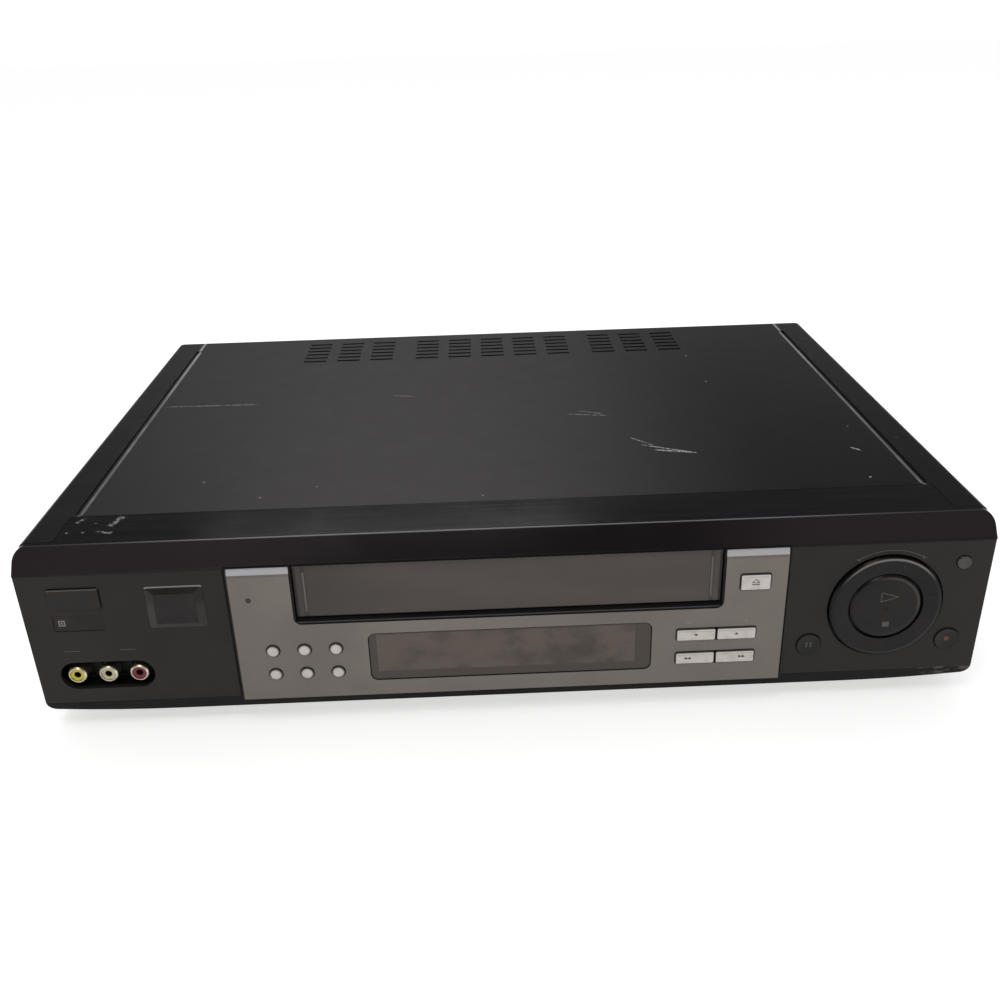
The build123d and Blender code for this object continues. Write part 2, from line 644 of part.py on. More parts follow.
def panel_openings():
    """Openings through the front panel's wall, drawn in x and z."""
    low, high = KEY_DROPS[1], KEY_DROPS[0]
    room = ROUND_KEY_R + KEY_ROOM
    keys = window(key_columns[0] - room, key_columns[-1] + room, drop(low) - room, drop(high) + room)
    wide = PAIR[1] / 2 + KEY_ROOM
    tall = PAIR[2] / 2 + KEY_ROOM
    pairs = window(pair_x - wide, pair_x + wide, drop(PAIR_DROPS[1]) - tall, drop(PAIR_DROPS[0]) + tall)
    recess = Pos(jack_recess[0], drop(jack_recess[1])) * SlotOverall(*jack_recess[2:])
    return [
        keys, pairs, recess,
        placed(eject, grow=KEY_ROOM),
        dot(led, LED_R + FIT),
        placed(display, grow=-WINDOW_LEDGE, corner=WINDOW_CORNER),
        placed(power, grow=KEY_GAP, corner=KEY_CORNER),
        placed(sensor, grow=FIT, corner=KEY_CORNER),
        placed(tag_pad, grow=FIT, corner=KEY_CORNER),
        dot(dial, dial_hole_r),
        dot(pause, DISC_KEY_R + KEY_GAP),
        dot(record, DISC_KEY_R + KEY_GAP),
        dot(jog, JOG_R + KEY_GAP),
    ]


def make_front_panel():
    """Moulded front: hollow shell with posts, gussets, lip, strip and every opening."""
    shell = side_prism(panel_section(rim_y, BAND_STEP), -half, half)
    long_edges = shell.edges().filter_by(Axis.X).group_by(Axis.Z)[-1].sort_by(Axis.Y)
    shell = fillet(long_edges[0], EDGE_ROUND)
    shell &= front_prism(panel_outline(), dial_y, rim_y)
    inner = offset(panel_section(rim_y + 2 * WALL, 0.0), -WALL, kind=Kind.INTERSECTION)
    hollow = side_prism(inner, -half, half)
    hollow &= front_prism(offset(panel_outline(), -WALL), face_y, rim_y + 2 * WALL)
    body = shell - hollow + panel_lip()

    in_wall = wall_y - WALL / 2
    for side in (-1, 1):
        body += rod(side * (half - LOW_POST[0]), chin_z + LOW_POST[1], POST_R, in_wall, board_y)
        body += rod(side * (panel_half + HIGH_POST[0]), drop(HIGH_POST[1]), POST_R, in_wall, board_y)
    floor = chin_z + WALL
    in_chin = face_y + CHIN_TUCK + WALL / 2
    web = outline(
        (in_chin, floor - WALL / 2), (wall_y + GUSSET[1], floor - WALL / 2), (wall_y + GUSSET[1], floor),
        (wall_y, floor + GUSSET[2]), (in_wall, floor + GUSSET[2]), (in_wall, field_z),
    )
    for step in range(GUSSETS):
        x = (step - (GUSSETS - 1) / 2) * GUSSET_PITCH
        body += side_prism(web, x - GUSSET[0] / 2, x + GUSSET[0] / 2)

    pocket = window(-panel_half - FIT, panel_half + FIT, panel_foot_z - FIT, band_z)
    body -= front_prism(pocket, dial_y, pocket_y)
    for sketch in panel_openings():
        body -= front_prism(sketch, dial_y, wall_y + OVERCUT)

    # cassette bay, cut from behind so that the band keeps a thin lip over the flap
    roof_z = band_z + BAND_DROP / 2
    bay = outline(
        (dial_y, bay_z - FIT), (dial_y, band_z), (lip_y, band_z),
        (lip_y + band_slope * (roof_z - band_z), roof_z), (strip_y, roof_z), (strip_y, bay_z - FIT),
    )
    return body - side_prism(bay, -bay_half - FIT, bay_half + FIT)


def make_centre_panel():
    """Trim that frames the cassette slot and the display, with a bevel along its top."""
    top_z = band_z - FIT
    bevel_depth, bevel_height = PANEL_BEVEL
    section = outline(
        (pocket_y, panel_foot_z), (panel_y, panel_foot_z), (panel_y, top_z - bevel_height),
        (panel_y + bevel_depth, top_z), (pocket_y, top_z),
    )
    body = side_prism(section, -panel_half, panel_half)
    bay = window(-bay_half - FIT, bay_half + FIT, bay_z - FIT, height)
    bay = fillet(bay.vertices().group_by(Axis.Y)[0], BAY_CORNER)
    holes = [bay, placed(display, corner=WINDOW_CORNER), dot(led, LED_R + FIT)]
    holes += [placed(eject, grow=KEY_GAP, corner=KEY_CORNER)]
    for down in PAIR_DROPS:
        holes.append(placed((pair_x, down, *PAIR[1:]), grow=KEY_GAP, corner=KEY_CORNER))
    for down in KEY_DROPS:
        holes += [dot((x, down), ROUND_KEY_R + KEY_GAP) for x in key_columns]
    for sketch in holes:
        body -= front_prism(sketch, panel_y - OVERCUT, pocket_y + OVERCUT)
    return body


def make_door_surround():
    """Liner of the cassette slot: thin cheeks, a ramped sill and a bar behind the hinge."""
    front = panel_y + SURROUND_SET
    back = face_y + SURROUND_DEPTH
    top = hinge_z + SURROUND_OVER
    frame = window(-bay_half, bay_half, bay_z, top)
    frame = fillet(frame.vertices().group_by(Axis.Y)[0], BAY_CORNER - FIT)
    body = front_prism(frame, front, back)
    slot = window(-slot_half, slot_half, sill_z, top - SURROUND_BAR)
    body -= front_prism(slot, front - OVERCUT, back + OVERCUT)
    ramp = outline((front, sill_z), (front + SILL_RAMP[0], sill_z), (front, sill_z - SILL_RAMP[1]))
    body -= side_prism(ramp, -slot_half, slot_half)
    # the cheeks stay behind the band, and the bar behind the swinging flap
    under = band_z - 3 * FIT
    above = outline(
        (front - OVERCUT, under), (lip_y + FIT, under), (lip_y + FIT, band_z),
        (lip_y + FIT + band_slope * BAND_DROP, height), (front - OVERCUT, height),
    )
    body -= side_prism(above, -half, half)
    body -= block(-slot_half, slot_half, front, hinge_y + FLAP_THICK, hinge_z, height)
    return body - across(hinge_y, hinge_z, TRUNNION + RUN_FIT, -half, half)


def make_cassette_door():
    """Flap with a barrel edge along its hinge line and a trunnion moulded on each end."""
    long = slot_half - FLAP_GAP
    foot_z = hinge_z - flap_length
    radius = FLAP_THICK / 2
    back_y = flap_y + FLAP_THICK
    section = Pos(hinge_y, hinge_z) * Circle(radius)
    section += outline((flap_y, hinge_z), (back_y, hinge_z), (back_y, foot_z), (flap_y, foot_z))
    body = side_prism(section, -long, long)
    foot_edges = body.edges().filter_by(Axis.X).group_by(Axis.Z)[0]
    body = fillet(foot_edges, FLAP_ROUND)
    margin, step_depth = FLAP_STEP
    inboard, groove_wide, groove_deep = FLAP_GROOVE
    for side in (-1, 1):
        end = side * long
        body -= block(end, end - side * margin, flap_y - OVERCUT, flap_y + step_depth,
                      foot_z - OVERCUT, hinge_z - radius)
        groove = side * (long - margin - inboard)
        body -= block(groove - groove_wide / 2, groove + groove_wide / 2, flap_y - OVERCUT,
                      flap_y + groove_deep, foot_z + FLAP_GROOVE_END, hinge_z - FLAP_GROOVE_END)
        body += across(hinge_y, hinge_z, TRUNNION, end - side, side * (bay_half - FIT))
    # stiffening ribs on the inside face
    for step in range(FLAP_RIBS):
        x = (step - (FLAP_RIBS - 1) / 2) * FLAP_RIB_PITCH
        body += block(x - FLAP_RIB[0] / 2, x + FLAP_RIB[0] / 2, back_y, back_y + FLAP_RIB[1],
                      foot_z + FLAP_RIB_END, hinge_z - FLAP_RIB_END)
    return body


def make_display_window():
    """Smoked pane let into the centre panel, resting on the floor of the recess."""
    pane = placed(display, grow=-FIT, corner=WINDOW_CORNER)
    body = front_prism(pane, panel_y + WINDOW_SET, pocket_y)
    return chamfer(body.edges().group_by(Axis.Y)[0], WINDOW_BEVEL)


def make_display_tube():
    """Flat vacuum display: glass box with a bevelled front and the stub of its pump tip."""
    x, down = display[:2]
    body = front_prism(Pos(x, drop(down)) * Rectangle(*TUBE), wall_y + TUBE_SETBACK, board_y)
    body = chamfer(body.edges().group_by(Axis.Y)[0], TUBE_BEVEL)
    radius, length, ahead = TUBE_TIP
    end = x + TUBE[0] / 2
    return body + across(board_y - ahead, drop(down), radius, end, end + length)


def rear_rim(spec):
    """Rim behind the wall that keeps a pane or pad in its hole."""
    overhang, thickness = REAR_RIM
    return front_prism(placed(spec, grow=overhang, corner=KEY_CORNER), wall_y, wall_y + thickness)


def make_sensor_window():
    """Dark pane in front of the remote control receiver, held by a rim."""
    return front_prism(placed(sensor, corner=KEY_CORNER), face_y + SENSOR_SET, wall_y) + rear_rim(sensor)


def make_tag_pad():
    """Raised pad with sloping sides, in a hole of the front panel, held by a rim behind it."""
    x, down, wide, high = tag_pad
    place = Plane.XZ.offset(-face_y) * Pos(x, drop(down))
    base = place * RectangleRounded(wide, high, KEY_CORNER)
    top = place * Pos(0, 0, TAG_PAD_PROUD) * RectangleRounded(*TAG_PAD_FACE, KEY_CORNER / 2)
    body = loft([base.face(), top.face()])
    return body + front_prism(placed(tag_pad, corner=KEY_CORNER), face_y, wall_y) + rear_rim(tag_pad)


# ---- Buttons -------------------------------------------------------------------------------------
def push_button(place, cap, rim, in_panel, dished=False):
    """Cap in its hole, a rim behind the wall that keeps it in, and a stem to its switch."""
    x, z = place[0], drop(place[1])
    front = (panel_y if in_panel else face_y) - KEY_PROUD
    rim_front = (pocket_y if in_panel else wall_y) + KEY_GAP
    rim_back = rim_front + KEY_FLANGE
    stem_end = board_y - SWITCH_BODY[1] - SWITCH_TIP[1] - KEY_TRAVEL - RUN_FIT
    body = front_prism(cap, front, rim_back)
    body = fillet(body.edges().group_by(Axis.Y)[0], KEY_ROUND)
    body += front_prism(rim, rim_front, rim_back)
    body += rod(x, z, KEY_STEM_R, rim_front, stem_end)
    if dished:
        radius, hollow = DISH
        body -= Pos(x, front + hollow - radius, z) * Sphere(radius)
    return body


def make_buttons():
    """Every push button, by name."""
    made = {}
    for name, spec in flat_keys.items():
        x, down, wide, high = spec
        alone = name in ("power_button", "eject_button")
        overhang = KEY_FLANGE if alone else 0.0
        rim = placed((x, down, wide + 2 * overhang, high + 2 * KEY_FLANGE))
        made[name] = push_button(spec, placed(spec, corner=KEY_CORNER), rim, name != "power_button")
    for name, (place, radius) in round_keys.items():
        made[name] = push_button(place, dot(place, radius), dot(place, radius + KEY_FLANGE),
                                 name.endswith("_key"), radius == DISC_KEY_R)
    return made


# ---- Shuttle dial --------------------------------------------------------------------------------
def turned(points):
    """Turn a profile of (radius, depth) points about the dial's axis."""
    spun = revolve(Plane.XY * outline(*points), axis=Axis.Y)
    return Pos(dial[0], 0, drop(dial[1])) * spun


def make_shuttle_ring():
    """Ring with a rolled outer edge and a shallow dish, on a flange behind the panel."""
    cap_back = dial_y + RING_CAP
    flange_front = wall_y + KEY_GAP
    flange_r = dial_hole_r + RING_FLANGE[0]
    flange_back = flange_front + RING_FLANGE[1]
    bore = hub_r + RUN_FIT
    roll = RING_ROLL
    return turned([
        (ring_bore_r, dial_y + RING_DISH), (ring_bore_r + 1.5 * roll, dial_y + RING_DISH / 2),
        (RING_R - roll, dial_y), (RING_R - 0.3 * roll, dial_y + 0.2 * roll),
        (RING_R, dial_y + 0.6 * roll), (RING_R, flange_front), (flange_r, flange_front),
        (flange_r, flange_back), (bore, flange_back), (bore, cap_back), (ring_bore_r, cap_back),
    ])


def make_play_stop_disc():
    """Rocking disc: domed cap, hollow stem and two trunnions in the hub's tube."""
    stem_back = face_y + DISC_STEM_DEPTH
    cap_back = dial_y + DISC_CAP
    stem_in = DISC_STEM_R - DISC_STEM_WALL
    body = turned([
        (0.0, dial_y), (DISC_R - 5 * DISC_DOME, dial_y + 0.4 * DISC_DOME),
        (DISC_R - 1.5 * DISC_DOME, dial_y + DISC_DOME), (DISC_R, dial_y + 2.5 * DISC_DOME),
        (DISC_R, cap_back), (DISC_STEM_R, cap_back), (DISC_STEM_R, stem_back),
        (stem_in, stem_back), (stem_in, cap_back), (0.0, cap_back),
    ])
    x, z = dial[0], drop(dial[1])
    for side in (-1, 1):
        root = x + side * (DISC_STEM_R - DISC_STEM_WALL / 2)
        body += across(rock_y, z, ROCK_PIN_R, root, x + side * (hub_r - DISC_DOME))
    return body


def make_shuttle_encoder():
    """Round rotary switch on the front board, with the tube that the ring turns on."""
    base_front = board_y - ENCODER_DEPTH
    tube_front = dial_y + RING_CAP + HUB_SET
    body = turned([
        (hub_bore_r, tube_front), (hub_r, tube_front), (hub_r, base_front),
        (ENCODER_R - ENCODER_BEVEL, base_front), (ENCODER_R, base_front + ENCODER_BEVEL),
        (ENCODER_R, board_y), (hub_bore_r, board_y),
    ])
    x, z = dial[0], drop(dial[1])
    return body - across(rock_y, z, ROCK_PIN_R + RUN_FIT, x - hub_r - OVERCUT, x + hub_r + OVERCUT)


# ---- Phono sockets: direction is 1 where the socket points to the rear -------------------------------
def along(x, z, radius, y0, y1):
    """Round bar along Y between two depths in either order."""
    return rod(x, z, radius, min(y0, y1), max(y0, y1))


def sleeve(x, z, y_tip, y_foot, direction):
    """Outer contact of a phono socket: bevelled tip, shank, and a thinner root in its block."""
    body = along(x, z, SLEEVE_R, y_tip, y_foot)
    tip = body.edges().filter_by(GeomType.CIRCLE).sort_by(Axis.Y)[-1 if direction > 0 else 0]
    body = chamfer(tip, SLEEVE_BEVEL)
    y_root = y_foot - direction * root_depth(direction)
    body += along(x, z, ROOT_R, y_foot, y_root)
    return body - along(x, z, SLEEVE_BORE_R, y_root - direction * OVERCUT, y_tip + direction * OVERCUT)


def root_depth(direction):
    """Length of a sleeve's root: at the rear it also passes through the panel."""
    return ROOT_DEPTH + (FLOOR_SHEET + FIT if direction > 0 else 0.0)


def insert(x, z, y_tip, y_foot, direction):
    """Coloured insulator in the sleeve, with the hole for the plug's pin."""
    y_front = y_tip - direction * INSERT_SET
    y_root = y_foot - direction * root_depth(direction)
    body = along(x, z, SLEEVE_BORE_R - RUN_FIT, y_front, y_root)
    return body - along(x, z, PIN_HOLE_R, y_front + direction * OVERCUT, y_front - direction * INSERT_DEPTH)


def make_jack_sleeves():
    """Nickel sleeves of the three front and six rear sockets."""
    front = [sleeve(x, z, front_tip_y, well_y, -1) for x, z in front_jacks]
    return front + [sleeve(x, z, depth / 2, rear_y, 1) for x, z in rear_jacks]


def make_inserts(column):
    """Insulators of one colour: one front socket and the same column at the rear."""
    front = [insert(*front_jacks[column], front_tip_y, well_y, -1)]
    return front + [insert(x, z, depth / 2, rear_y, 1) for x, z in rear_jacks[column::3]]


def make_front_jack_block():
    """Black body behind the stadium recess, with a well around each socket."""
    x, down, wide, high = jack_recess
    z = drop(down)
    floor = face_y + JACK_RECESS_DEPTH
    edge = 2 * JACK_RECESS_WALL
    body = front_prism(Pos(x, z) * SlotOverall(wide + edge, high + edge), wall_y, floor)
    body -= front_prism(Pos(x, z) * SlotOverall(wide, high), wall_y - OVERCUT, floor)
    body += front_prism(Pos(x, z) * Rectangle(wide + edge, high + edge), floor, board_y)
    for jack_x, jack_z in front_jacks:
        well = Pos(jack_x, jack_z + JACK_WELL_UP) * Rectangle(*JACK_WELL[:2])
        body -= front_prism(well, floor - FIT, well_y)
        body -= rod(jack_x, jack_z, ROOT_R, well_y - OVERCUT, well_y + ROOT_DEPTH)
    return body


def make_rear_jack_block():
    """Moulded block on the main board that holds the rear sockets."""
    above, deep, bevel = JACK_BLOCK
    wide = JACK_PITCH + JACK_BLOCK_EDGE
    back = rear_in_y - FIT
    body = block(rear_jack_x - wide, rear_jack_x + wide, back - deep, back, board_top_z,
                 rear_jacks[-1][1] + above)
    body = chamfer(body.edges().filter_by(Axis.X).group_by(Axis.Z)[-1].sort_by(Axis.Y)[0], bevel)
    for x, z in rear_jacks:
        body -= rod(x, z, ROOT_R, back - ROOT_DEPTH, back + OVERCUT)
    return body


# ---- Boards --------------------------------------------------------------------------------------
def make_front_board():
    """Board behind the front panel: notched for the cassette, with its tactile switches."""
    low = chin_z + FRONT_BOARD_EDGE[1]
    high = drop(FRONT_BOARD_EDGE[2])
    outer = half - FRONT_BOARD_EDGE[0]
    inner = bay_half + FRONT_BOARD_NOTCH[0]
    shelf = bay_z - FRONT_BOARD_NOTCH[1]
    board = outline(
        (-outer, low), (outer, low), (outer, high), (inner, high), (inner, shelf),
        (-inner, shelf), (-inner, high), (-outer, high),
    )
    body = front_prism(board, board_y, board_y + BOARD)
    body_front = board_y - SWITCH_BODY[1]
    for x, down in key_places:
        switch = Pos(x, drop(down)) * Rectangle(SWITCH_BODY[0], SWITCH_BODY[0])
        tip = Pos(x, drop(down)) * Rectangle(SWITCH_TIP[0], SWITCH_TIP[0])
        body += front_prism(switch, body_front, board_y)
        body += front_prism(tip, body_front - SWITCH_TIP[1], body_front)
    wide, high, gap = RECEIVER
    receiver = Pos(sensor[0], drop(sensor[1])) * Rectangle(wide, high)
    body += front_prism(receiver, wall_y + gap, board_y)
    back = board_y + BOARD
    for x, up, wide, high, thick in FRONT_CHIPS:
        body += front_prism(Pos(x, low + up) * Rectangle(wide, high), back, back + thick)
    return body


def make_indicator_lens():
    """Light pipe from the recording lamp on the board to the hole in the centre panel."""
    x, z = led[0], drop(led[1])
    collar = wall_y + KEY_GAP
    body = rod(x, z, LED_R, panel_y + 2 * FIT, board_y)
    return body + rod(x, z, LED_R + LED_COLLAR[0], collar, collar + LED_COLLAR[1])


def can(x, y, radius, tall):
    """Round capacitor standing on a board."""
    return post(x, y, radius, board_top_z - BOARD / 2, board_top_z + tall)


def make_main_board():
    """Main board on the right, with its chips, tuner can and the channel switch's body."""
    x0 = deck_half + BOARD_GAP
    x1 = tray_half - BOARD_EDGE
    y0 = tray_front_y + MAIN_BOARD_FRONT
    y1 = rear_in_y - BOARD_REAR
    back = rear_in_y - FIT
    body = block(x0, x1, y0, y1, board_z, board_top_z)
    wide, deep, tall = TUNER
    body += block(antenna_x - wide / 2, antenna_x + wide / 2, y1 - deep, back, board_top_z,
                  board_top_z + tall)
    wide, opening, _ = SELECTOR
    body += block(selector_x - wide / 2, selector_x + wide / 2, y1 - opening, back, board_top_z,
                  selector_z + opening)
    body -= block(selector_x - SELECTOR_SLOT / 2, selector_x + SELECTOR_SLOT / 2,
                  rear_in_y - SELECTOR_TRAVEL, rear_in_y + OVERCUT, selector_z - opening / 2,
                  selector_z + opening / 2)
    for inboard, behind, wide, deep in MAIN_CHIPS:
        x, y = x0 + inboard, y0 + behind
        body += block(x - wide / 2, x + wide / 2, y - deep / 2, y + deep / 2, board_top_z,
                      board_top_z + CHIP_HEIGHT)
    for inboard, behind, radius, tall in MAIN_CANS:
        body += can(x0 + inboard, y0 + behind, radius, tall)
    return body


def make_power_supply():
    """Power board on the left: transformer, finned heat sink and capacitors."""
    x1 = -deck_half - BOARD_GAP
    x0 = -tray_half + BOARD_EDGE
    y1 = rear_in_y - BOARD_REAR
    body = block(x0, x1, y1 - POWER_BOARD_DEPTH, y1, board_z, board_top_z)
    x, y = x1 - TRANSFORMER_IN[0], y1 - TRANSFORMER_IN[1]
    wide, deep, tall = CORE
    body += block(x - wide / 2, x + wide / 2, y - deep / 2, y + deep / 2, board_top_z, board_top_z + tall)
    lift = board_top_z + (tall - COIL[2]) / 2
    body += block(x - COIL[0] / 2, x + COIL[0] / 2, y - COIL[1] / 2, y + COIL[1] / 2, lift, lift + COIL[2])
    inboard, ahead, long, thick, tall = SINK
    sink_x = x1 - inboard - long
    sink_back = y1 - ahead + thick
    body += block(sink_x, sink_x + long, y1 - ahead, sink_back, board_top_z, board_top_z + tall)
    for step in range(SINK_FINS):
        fin = sink_x + step * (long - SINK_FIN[0]) / (SINK_FINS - 1)
        body += block(fin, fin + SINK_FIN[0], sink_back, sink_back + SINK_FIN[1], board_top_z,
                      board_top_z + tall)
    for inboard, radius, tall in POWER_CANS:
        body += can(x1 - inboard, y1 - POWER_CANS_ROW, radius, tall)
    return body


# ---- Case ----------------------------------------------------------------------------------------
def vent_centres():
    """Middles of the vent groups: five in the middle set and three in each outer set."""
    inner = [step * VENT_PITCH for step in (-2, -1, 0, 1, 2)]
    start = inner[-1] + VENT_SET_STEP
    outer = [start + step * VENT_PITCH for step in (0, 1, 2)]
    return [-x for x in reversed(outer)] + inner + outer


def make_top_cover():
    """Folded steel cover, notched round the moulded strip, with vents and two pressed grooves."""
    front = tray_front_y
    outer = window(-cover_half, cover_half, cover_z, height)
    outer = fillet(outer.vertices().group_by(Axis.Y)[-1], BEND)
    inner_half = cover_half - SHEET
    inner = window(-inner_half, inner_half, cover_z - OVERCUT, height - SHEET)
    inner = fillet(inner.vertices().group_by(Axis.Y)[-1], BEND - SHEET)
    body = front_prism(outer - inner, front, cover_back_y)

    plan = Pos(0, (front + cover_back_y) / 2) * Rectangle(2 * cover_half, cover_back_y - front)
    plan = fillet(plan.vertices().group_by(Axis.Y)[-1], PLAN_CORNER)
    body &= top_prism(plan, 0.0, height)

    groove_front = strip_y + SEAM
    groove_back = cover_back_y - GROOVE_END
    length = groove_back - groove_front
    for side in (-1, 1):
        place = Pos(side * (cover_half - GROOVE_IN), (groove_front + groove_back) / 2) * Rot(0, 0, 90)
        bead = place * SlotOverall(length, GROOVE_WIDTH + 2 * SHEET)
        body += top_prism(bead, height - SHEET - GROOVE_DEPTH, height - SHEET)
        body -= top_prism(place * SlotOverall(length - 2 * SHEET, GROOVE_WIDTH),
                          height - GROOVE_DEPTH, height + OVERCUT)
    body -= block(-strip_half - SEAM, strip_half + SEAM, front - OVERCUT, strip_y + SEAM,
                  height - COVER_NOTCH, height + OVERCUT)

    slots = Sketch()
    for centre in vent_centres():
        for row in range(VENT_ROWS):
            y = cover_back_y - VENT_BACK - row * VENT_ROW_PITCH
            slots += Pos(centre, y) * Rectangle(*VENT_SLOT)
    body -= top_prism(slots, height - 2 * SHEET, height + OVERCUT)
    for x, y, z in side_screws:
        body -= across(y, z, SCREW_R + 2 * FIT, x - SCREW_LENGTH / 2, x + SCREW_LENGTH / 2)
    return body


def make_cover_screws():
    """Cross-head screws through the cover's flanks into the chassis tray."""
    long, wide, deep = SCREW_CROSS
    made = []
    for x, y, z in side_screws:
        side = math.copysign(1.0, x)
        face = x + side * SCREW_HEAD[1]
        body = across(y, z, SCREW_HEAD[0], x, face) + across(y, z, SCREW_R, x, x - side * SCREW_LENGTH)
        cross = Rectangle(long, wide) + Rectangle(wide, long)
        made.append(body - side_prism(Pos(y, z) * cross, face - side * deep, face + side * OVERCUT))
    return made


def make_bottom_chassis():
    """Pressed tray with turned-up flanks, standoffs for the boards and posts for the deck."""
    wall_top = floor_z + TRAY_WALL
    tray = window(-tray_half, tray_half, FOOT_HEIGHT, wall_top)
    tray -= window(-tray_half + FLOOR_SHEET, tray_half - FLOOR_SHEET, floor_z, wall_top)
    body = front_prism(tray, tray_front_y, rear_in_y)
    body -= block(-half, half, tray_front_y - OVERCUT, rim_y + TONGUE + SEAM, floor_z, height)

    board_back = rear_in_y - BOARD_REAR
    near = deck_half + BOARD_GAP + STANDOFF_IN
    far = tray_half - BOARD_EDGE - STANDOFF_IN
    rows = [board_back - ahead for ahead in STANDOFF_REAR]
    front_row = tray_front_y + MAIN_BOARD_FRONT + STANDOFF_FRONT
    places = [(side * x, y) for side in (-1, 1) for x in (near, far) for y in rows]
    for x, y in places + [(near, front_row), (far, front_row)]:
        body += post(x, y, STANDOFF_R, floor_z, board_z)
    for side in (-1, 1):
        for y in (deck_front_y + DECK_POST_IN[1], deck_back_y - DECK_POST_IN[1]):
            body += post(side * (deck_half - DECK_POST_IN[0]), y, DECK_POST_R, floor_z, deck_z - DECK_SHEET)

    slots = Sketch()
    for row in range(TRAY_VENT_ROWS):
        y = tray_front_y + TRAY_VENT_FRONT + row * TRAY_VENT_PITCH
        for side in (-1, 1):
            slots += Pos(side * (half - TRAY_VENT_IN), y) * Rectangle(*TRAY_VENT)
    body -= top_prism(slots, FOOT_HEIGHT - OVERCUT, floor_z + OVERCUT)
    for x, y, z in side_screws:
        body -= across(y, z, SCREW_R + RUN_FIT, x - SCREW_LENGTH, x + SCREW_LENGTH)
    return body


def make_rear_panel():
    """Steel back with flanges at its sides, and cut-outs for the sockets, switch and gland."""
    top = height - SHEET - SEAM
    sheet = window(-tray_half, tray_half, floor_z, top)
    sheet = fillet(sheet.vertices().group_by(Axis.Y)[-1], BEND)
    body = front_prism(sheet, rear_in_y, rear_y)
    in_sheet = rear_in_y + FLOOR_SHEET / 2
    outer = tray_half - FLOOR_SHEET - FIT
    inner = outer - FLOOR_SHEET
    for side in (-1, 1):
        middle = side * (outer + inner) / 2
        body += block(middle - FLOOR_SHEET / 2, middle + FLOOR_SHEET / 2, rear_in_y - REAR_FLANGE,
                      in_sheet, floor_z, top - BEND)
    reach = tray_half - BEND - FLOOR_SHEET
    body += block(-reach, reach, rear_in_y - REAR_FLANGE, in_sheet, top - FLOOR_SHEET, top)
    cuts = [Pos(x, z) * Circle(ROOT_R + FIT) for x, z in rear_jacks]
    cuts += [Pos(antenna_x, z) * Circle(ANTENNA_R + FIT) for z in antenna_levels]
    cuts += [Pos(selector_x, selector_z) * Rectangle(SELECTOR_SLOT, SELECTOR[1])]
    cuts += [Pos(*gland) * Circle(GLAND_NECK_R + FIT)]
    for step in range(REAR_VENT_COLUMNS):
        x = -half + REAR_VENT_IN + step * REAR_VENT_PITCH
        cuts.append(Pos(x, drop(REAR_VENT_DROP)) * Rectangle(*REAR_VENT))
    for sketch in cuts:
        body -= front_prism(sketch, rear_in_y - OVERCUT, rear_y + OVERCUT)
    return body


def make_cord_gland():
    """Grommet for the mains lead: rim outside the panel, neck through it and lugs inside."""
    x, z = gland
    radius, thick = GLAND_RIM
    overhang, long = GLAND_LUG
    body = rod(x, z, radius, rear_y, rear_y + thick)
    body = fillet(body.edges().group_by(Axis.Y)[-1], thick / 3)
    body += rod(x, z, GLAND_NECK_R, rear_in_y, rear_y)
    body += rod(x, z, GLAND_NECK_R + overhang, rear_in_y - long, rear_in_y)
    return body - rod(x, z, CORD_R, rear_in_y - long - OVERCUT, rear_y + thick + OVERCUT)


def make_antenna_sockets():
    """Threaded aerial sockets: hexagon against the rear panel and a barrel with its centre hole."""
    made = []
    tip = rear_y + ANTENNA_LENGTH
    for z in antenna_levels:
        body = rod(antenna_x, z, ANTENNA_R, rear_in_y - FIT, tip)
        body = chamfer(body.edges().group_by(Axis.Y)[-1], SLEEVE_BEVEL)
        hexagon = Pos(antenna_x, z) * RegularPolygon(ANTENNA_NUT[0], 6)
        body += front_prism(hexagon, rear_y, rear_y + ANTENNA_NUT[1])
        made.append(body - rod(antenna_x, z, ANTENNA_PIN_R, rear_y + OVERCUT, tip + OVERCUT))
    return made


def make_channel_switch():
    """Sliding knob of the output channel switch, ribbed across its end."""
    wide = SELECTOR_SLOT - SELECTOR_TRAVEL - 2 * SELECTOR_FIT
    x0 = selector_x - SELECTOR_SLOT / 2 + SELECTOR_FIT
    tall = SELECTOR[1] / 2 - SELECTOR_FIT
    front = rear_in_y - SELECTOR_TRAVEL + 2 * SELECTOR_FIT
    tip = rear_y + SELECTOR_OUT
    body = block(x0, x0 + wide, front, tip, selector_z - tall, selector_z + tall)
    middle = x0 + wide / 2
    return body - block(middle - SELECTOR_OUT / 3, middle + SELECTOR_OUT / 3, tip - SELECTOR_OUT / 3,
                        tip + OVERCUT, selector_z - tall, selector_z + tall)


def make_feet():
    """Four tapered feet with a rim, pushed on to the floor of the tray."""
    profile = outline((0, 0), (FOOT_RADIUS - 2 * FOOT_BEVEL, 0), (FOOT_RADIUS - FOOT_BEVEL, FOOT_BEVEL),
                      (FOOT_RADIUS, FOOT_HEIGHT), (0, FOOT_HEIGHT))
    foot = revolve(Plane.XZ * profile, axis=Axis.Z)
    return [Pos(side * (half - FOOT_IN), y, 0) * foot for side in (-1, 1)
            for y in (tray_front_y + FOOT_FRONT, rear_in_y - FOOT_REAR)]


# ---- Tape deck -----------------------------------------------------------------------------------
def deck_point(spec, side=1):
    """Place on the deck given from the middle of the reels."""
    return side * spec[0], reel_y + spec[1]


def guide_run(side):
    """Start of a loading slot, its length and its angle."""
    x0, y0 = deck_point(GUIDE_START, side)
    x1, y1 = deck_point(GUIDE_END, side)
    return (x0, y0), math.hypot(x1 - x0, y1 - y0), math.degrees(math.atan2(y1 - y0, x1 - x0))


